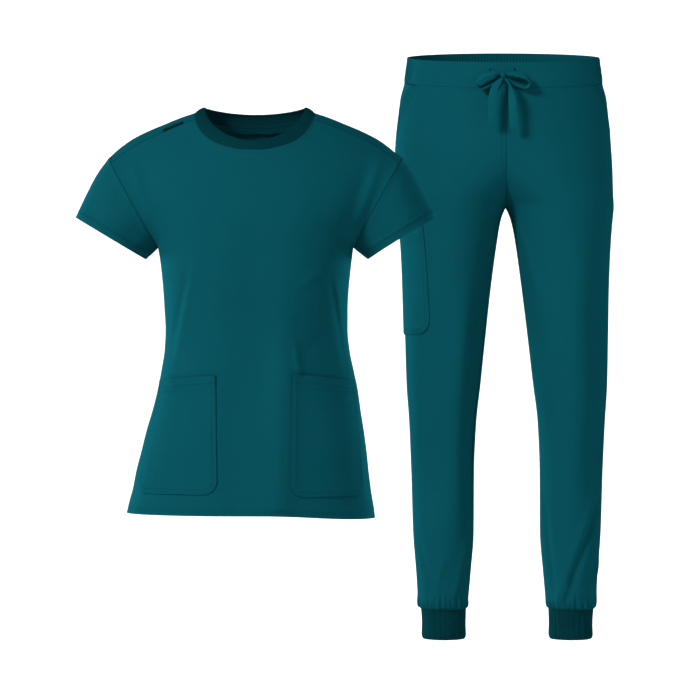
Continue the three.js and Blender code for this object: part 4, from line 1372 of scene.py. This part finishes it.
u = np.linspace(0, 1, 61)
k = np.linspace(0.2, 1.35, 5)[:, None]
x, over = neckline(lerp(PI + 0.75, 2 * PI - 0.75, u)[None, :])
x, over = np.broadcast_arrays(x, -np.sqrt(over**2 + k * 8))
inside = over_point(x, over) + over_normal(x, over) * (-WALL - LAY_GAP - 1)
neck_tape = Panel(inside + PLACE, top_middle)
shell(
    "neck_tape_cloth",
    neck_tape,
    WALL,
    ["top", "end"],
    TWILL,
    ["neck_tape"],
)

# %% [markdown]
# Two patch pockets lie on the front, their outer edges close to the side seams and their lower corners
# rounded. The mouths stand off a little, since hands have been in them.

# %% Patch pockets
POCKET = {
    "right": {
        "top": -510, "bottom": -695, "slope": -9, "inner": (-57, -54), "outer": (0.24, 0.34), "gape": 0.62
    },
    "left": {
        "top": -508, "bottom": -699, "slope": -12, "inner": (61, 58), "outer": (0.24, 0.34), "gape": 0.16
    },
}


def section_normal(face, angle, z):
    a = section_point(face, angle + 0.01, z) - section_point(face, angle - 0.01, z)
    b = section_point(face, angle, z + 1) - section_point(face, angle, z - 1)
    n = unit(np.cross(a, b))
    p = section_point(face, angle, z)
    return np.where((n[..., :2] * p[..., :2]).sum(-1, keepdims=True) < 0, -n, n)


for name, p in POCKET.items():
    side = SIDES[name]
    height = p["top"] - p["bottom"]
    down = rows_to_round_end(height, 22, 4)
    k = down / height
    level = p["top"] - down
    inset = rounded_in(height - down, 22)
    x = lerp(p["inner"][0], p["inner"][1], k) + side * inset
    to_left, to_right = body["left"](level), body["right"](level)
    middle, wide = (to_left - to_right) / 2, (to_left + to_right) / 2
    c = (x - middle) / wide
    inner = np.arccos(-np.sign(c) * np.abs(c) ** (body["round"](level) / 2))
    outer = lerp(p["outer"][0], p["outer"][1], k) + inset / 110
    outer = PI - outer if side > 0 else outer
    across = np.linspace(0, 1, 43)[None, :]
    angle = lerp(inner, outer, across)
    z = level + p["slope"] * across * (1 - k)
    gape = np.exp(-(((across - p["gape"]) / 0.22) ** 2))
    lift = LAY_GAP + WALL + (1.3 + 1.9 * gape) * np.exp(-((down / 20) ** 2))
    lift = lift + 1.6 * np.sin(PI * across) ** 2 * np.sin(PI * k) ** 2
    edge_down = np.minimum(np.minimum(across, 1 - across) * 42, (height - down) / 2)
    lift = lift - 0.65 * np.exp(-(edge_down**2))
    net = section_point(1, angle, z, lift) + PLACE
    pocket = Panel(net, top_middle)
    pocket_rows = [("top", 12.4, 0, 1), ("top", 19, 0, 1), ("around", 8, 0, 1)]
    shell(
        f"pocket_{name}_cloth",
        pocket,
        WALL,
        ALL_SIDES,
        TWILL,
        [f"pocket_{name}"],
        rows=pocket_rows,
    )

# %% Badge loop
u = np.linspace(0, 1, 25)[None, :]
k = np.linspace(-1, 1, 5)[:, None]
x, over = np.broadcast_arrays(lerp(-143, -112, u), SEAM_OVER + k * 0.24)
ripple = (WALL + LAY_GAP + 0.35 * np.sin(2 * PI * 8 * u))[..., None]
strap = Panel(over_point(x, over) + over_normal(x, over) * ripple + PLACE, top_middle)
shell(
    "badge_loop_elastic",
    strap,
    WALL,
    [],
    ELASTIC,
    ["badge_loop"],
)


# %% [markdown]
# ## Stitching
# The rows of topstitching follow the lines that were measured off the edges above. A row is made by a
# small node tree: the line is cut into equal steps, and at each step lies one stitch, a short thread that
# dips at both ends. Bartacks, which hold the corners of pockets, are the same thread laid close.

# %% Stitch tree
STITCH_INPUTS = [
    ("Pitch", "NodeSocketFloat", 0.0026),
    ("Stitch Length", "NodeSocketFloat", 0.0019),
    ("Thread Radius", "NodeSocketFloat", 0.00028),
    ("Unevenness", "NodeSocketFloat", 0.08),
    ("Seed", "NodeSocketInt", 5),
    ("Thread", "NodeSocketMaterial", None),
]
stitch_tree = bpy.data.node_groups.new("stitch_rows", "GeometryNodeTree")
stitch_tree.is_modifier = True
stitch_tree.interface.new_socket("Lines", in_out="INPUT", socket_type="NodeSocketGeometry")
for name, kind, value in STITCH_INPUTS:
    socket = stitch_tree.interface.new_socket(name, in_out="INPUT", socket_type=kind)
    if value is not None:
        socket.default_value = value
stitch_tree.interface.new_socket("Stitches", in_out="OUTPUT", socket_type="NodeSocketGeometry")

given = node(stitch_tree, "NodeGroupInput", (-1200, 0)).outputs
path = node(stitch_tree, "GeometryNodeMeshToCurve", (-1000, 200), {"Mesh": given["Lines"]})
steps = node(
    stitch_tree, "GeometryNodeResampleCurve", (-800, 200), {"Curve": path.outputs["Curve"]}, mode="LENGTH"
)
stitch_tree.links.new(given["Pitch"], steps.inputs["Length"])
tangent = node(stitch_tree, "GeometryNodeInputTangent", (-1000, -100))
along = node(
    stitch_tree,
    "FunctionNodeAlignRotationToVector",
    (-800, -100),
    {"Vector": tangent.outputs[0]},
    axis="Z",
)
uneven = node(
    stitch_tree, "ShaderNodeMath", (-1000, -300), {0: 1.0, 1: given["Unevenness"]}, operation="SUBTRACT"
)
share = node(
    stitch_tree,
    "FunctionNodeRandomValue",
    (-800, -300),
    {"Min": uneven.outputs[0], "Max": 1.0, "Seed": given["Seed"]},
    data_type="FLOAT",
)
half = node(
    stitch_tree, "ShaderNodeMath", (-800, -500), {0: given["Stitch Length"], 1: 0.5}, operation="MULTIPLY"
)
reach = node(
    stitch_tree,
    "ShaderNodeMath",
    (-600, -400),
    {0: half.outputs[0], 1: share.outputs["Value"]},
    operation="MULTIPLY",
)
size = node(
    stitch_tree,
    "ShaderNodeCombineXYZ",
    (-400, -400),
    {"X": given["Thread Radius"], "Y": given["Thread Radius"], "Z": reach.outputs[0]},
)
bead = node(
    stitch_tree, "GeometryNodeMeshUVSphere", (-600, 0), {"Segments": 6, "Rings": 4, "Radius": 1.0}
)
laid = node(
    stitch_tree,
    "GeometryNodeInstanceOnPoints",
    (-200, 100),
    {
        "Points": steps.outputs["Curve"],
        "Instance": bead.outputs["Mesh"],
        "Rotation": along.outputs["Rotation"],
        "Scale": size.outputs["Vector"],
    },
)
real = node(
    stitch_tree, "GeometryNodeRealizeInstances", (0, 100), {"Geometry": laid.outputs["Instances"]}
)
smooth = node(
    stitch_tree, "GeometryNodeSetShadeSmooth", (200, 100), {"Geometry": real.outputs["Geometry"]}
)
dyed = node(stitch_tree, "GeometryNodeSetMaterial", (400, 100), {"Geometry": smooth.outputs["Geometry"]})
stitch_tree.links.new(given["Thread"], dyed.inputs["Material"])
node(stitch_tree, "NodeGroupOutput", (600, 100), {"Stitches": dyed.outputs["Geometry"]})


def sew(name, lines, **values):
    """Lays stitches along lines of points in mm and keeps them as a plain mesh."""
    mesh = bpy.data.meshes.new(name)
    points, edges = [], []
    for line in lines:
        edges += [(len(points) + i, len(points) + i + 1) for i in range(len(line) - 1)]
        points += [tuple(p * MM) for p in line]
    mesh.from_pydata(points, edges, [])
    guide = bpy.data.objects.new(name + "_lines", mesh)
    scene.collection.objects.link(guide)
    modifier = guide.modifiers.new("stitches", "NODES")
    modifier.node_group = stitch_tree
    sockets = {s.name: s.identifier for s in stitch_tree.interface.items_tree if s.in_out == "INPUT"}
    for key, value in {"Thread": THREAD, **values}.items():
        modifier[sockets[key]] = value
    graph = bpy.context.evaluated_depsgraph_get()
    plain = bpy.data.meshes.new_from_object(guide.evaluated_get(graph), depsgraph=graph)
    bpy.data.objects.remove(guide)
    plain.name = name
    made = bpy.data.objects.new(name, plain)
    scene.collection.objects.link(made)
    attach(made, "root")
    print(f"{name}: {len(lines)} rows, {len(plain.polygons)} faces")
    return made


# %% Topstitching
of_top = ("top_", "sleeve_", "pocket_", "neck_")
top_lines = [line for key, lines in STITCHED.items() if key.startswith(of_top) for line in lines]
trouser_lines = [line for key, lines in STITCHED.items() if not key.startswith(of_top) for line in lines]
sew("top_topstitching", top_lines)
sew("trouser_topstitching", trouser_lines)

# %% Bartacks and buttonholes
CLOSE = {"Pitch": 0.0007, "Thread Radius": 0.0007, "Seed": 9}
top_tacks = [PANELS[f"pocket_{name}_cloth"].inset(name, 4, 0, 0.045, 0.15) for name in ("right", "left")]
tacks = [PANELS["cargo_pocket_cloth"].inset(side, 4, 0, 0.06, 0.15) for side in ("left", "right")]
tacks += [PANELS[f"leg_front_{name}_cloth"].inset("left", 5, 0.078, 0.088, 0.15) for name in SIDES]
turn = np.linspace(0, 2 * PI, 25)
holes = []
for row in (BOW["stub_right"][0], BOW["stub_left"][0]):
    x, z = KNOT[0] + row[0], KNOT[1] + row[1]
    level = z - leg["tilt"](WAIST_TOP) * band_front
    angle = np.arccos((x + 1.3 * np.cos(turn)) / 160)
    holes.append(leg_point(1, angle, level + 4.5 * np.sin(turn), BAND_OUT + 0.1))
sew("top_bartacks", top_tacks, **CLOSE)
sew("trouser_bartacks", tacks, **CLOSE)
# The buttonholes take the near-black thread, which is painted shade for the holes.
sew("buttonholes", holes, **{**CLOSE, "Thread": SHADED_THREAD})
tail_hems = []
for side in ("left", "right"):
    above, last = spline(route(side), 8)[[-9, -1], :3]
    middle = last + unit(above - last) * 9
    tail_hems.append(np.array([middle + (w, -TAPE_THICK / 2 - 0.1, 0) for w in (-5, -2.5, 0, 2.5, 5)]))
sew("drawstring_hems", tail_hems, Pitch=0.0022)

# %% [markdown]
# ## Floor and light
# A white sweep runs along the floor and up behind, so far off that the garments can be seen from all
# sides. A large light high behind them whitens it. The top and the trousers each have their own soft key
# light, high at the left in front, two narrow ones behind that brighten their side edges, and a weak one
# at the right that opens the shaded side. A wide weak light in front fills both.

# %% White sweep
sweep_white = bpy.data.materials.new("studio_paper_white")
sweep_white.use_nodes = True
paper = sweep_white.node_tree.nodes["Principled BSDF"]
paper.inputs["Base Color"].default_value = linear("F4F4F4")
paper.inputs["Roughness"].default_value = 0.9
bend = [(6.1 + 0.9 * np.sin(a), -0.2 - 0.9 * np.cos(a)) for a in np.linspace(0, PI / 2, 25)]
profile = [(-7.0, -1.1)] + bend + [(7.0, 3.5)]
sweep_points = [(x, y, z) for x in (-7.0, 7.0) for y, z in profile]
count = len(profile)
sweep_faces = [(i, i + 1, count + i + 1, count + i) for i in range(count - 1)]
sweep_mesh = bpy.data.meshes.new("white_sweep")
sweep_mesh.from_pydata(sweep_points, [], sweep_faces)
sweep_mesh.polygons.foreach_set("use_smooth", np.ones(len(sweep_mesh.polygons), bool))
sweep_mesh.materials.append(sweep_white)
sweep = bpy.data.objects.new("white_sweep", sweep_mesh)
scene.collection.objects.link(sweep)
sweep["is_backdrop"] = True


# %% Lights
def soft_light(name, place, aim, size, watts):
    light = bpy.data.lights.new(name, "AREA")
    light.size = size
    light.energy = watts
    made = bpy.data.objects.new(name, light)
    made.location = place
    made.rotation_euler = (Vector(aim) - Vector(place)).to_track_quat("-Z", "Y").to_euler()
    made.visible_camera = False
    scene.collection.objects.link(made)
    return made


top_group = bpy.data.collections.new("top_pieces")
trouser_group = bpy.data.collections.new("trouser_pieces")
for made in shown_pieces():
    of_the_top = made.name.startswith((*of_top, "neckband", "badge_"))
    (top_group if of_the_top else trouser_group).objects.link(made)
# Each garment has its own key and edge lights, so that neither shades the other.
TOP_LIGHTS = {
    "key": (-2.7, -2.85, 2.35, 1.0, 194),
    "edge_left": (-1.7, 1.3, 0.15, 0.7, 62),
    "edge_right": (1.7, 1.3, 0.15, 0.7, 60),
    "side_right": (2.5, -1.1, 0.9, 1.4, 9),
}
TROUSER_LIGHTS = {
    "key": (-2.75, -2.8, 2.35, 1.0, 176),
    "edge_left": (-1.7, 1.4, 0.15, 0.7, 48),
    "edge_right": (1.7, 1.1, 0.9, 0.7, 11),
    "side_right": (0.85, -0.9, 0.6, 0.5, 2.4),
}
aims = (
    (top_group, (-0.4, -0.1, -0.42), TOP_LIGHTS), (trouser_group, (0.0, -0.02, -0.47), TROUSER_LIGHTS)
)
for group, aim, places in aims:
    for name, (x, y, z, size, watts) in places.items():
        lamp = soft_light(f"{name}_{group.name}", (aim[0] + x, aim[1] + y, aim[2] + z), aim, size, watts)
        lamp.light_linking.receiver_collection = group
        lamp.light_linking.blocker_collection = group
garments = (-0.25, -0.05, -0.45)
soft_light("fill_front", (1.4, -4.2, 0.1), garments, 2.4, 20)
# The light over the sweep reaches it alone, so it leaves no bright rim on the sleeves and legs.
sweep_group = bpy.data.collections.new("sweep_only")
sweep_group.objects.link(sweep)
high = soft_light("sweep_light", (-0.25, 1.8, 5.0), (-0.25, 5.8, -0.3), 3.0, 760)
high.light_linking.receiver_collection = sweep_group
world = bpy.data.worlds.new("studio_air")
scene.world = world
world.use_nodes = True
world.node_tree.nodes["Background"].inputs["Color"].default_value = (1, 1, 1, 1)
world.node_tree.nodes["Background"].inputs["Strength"].default_value = 0.1
scene.view_settings.view_transform = "Standard"
print("lights", len(bpy.data.lights))
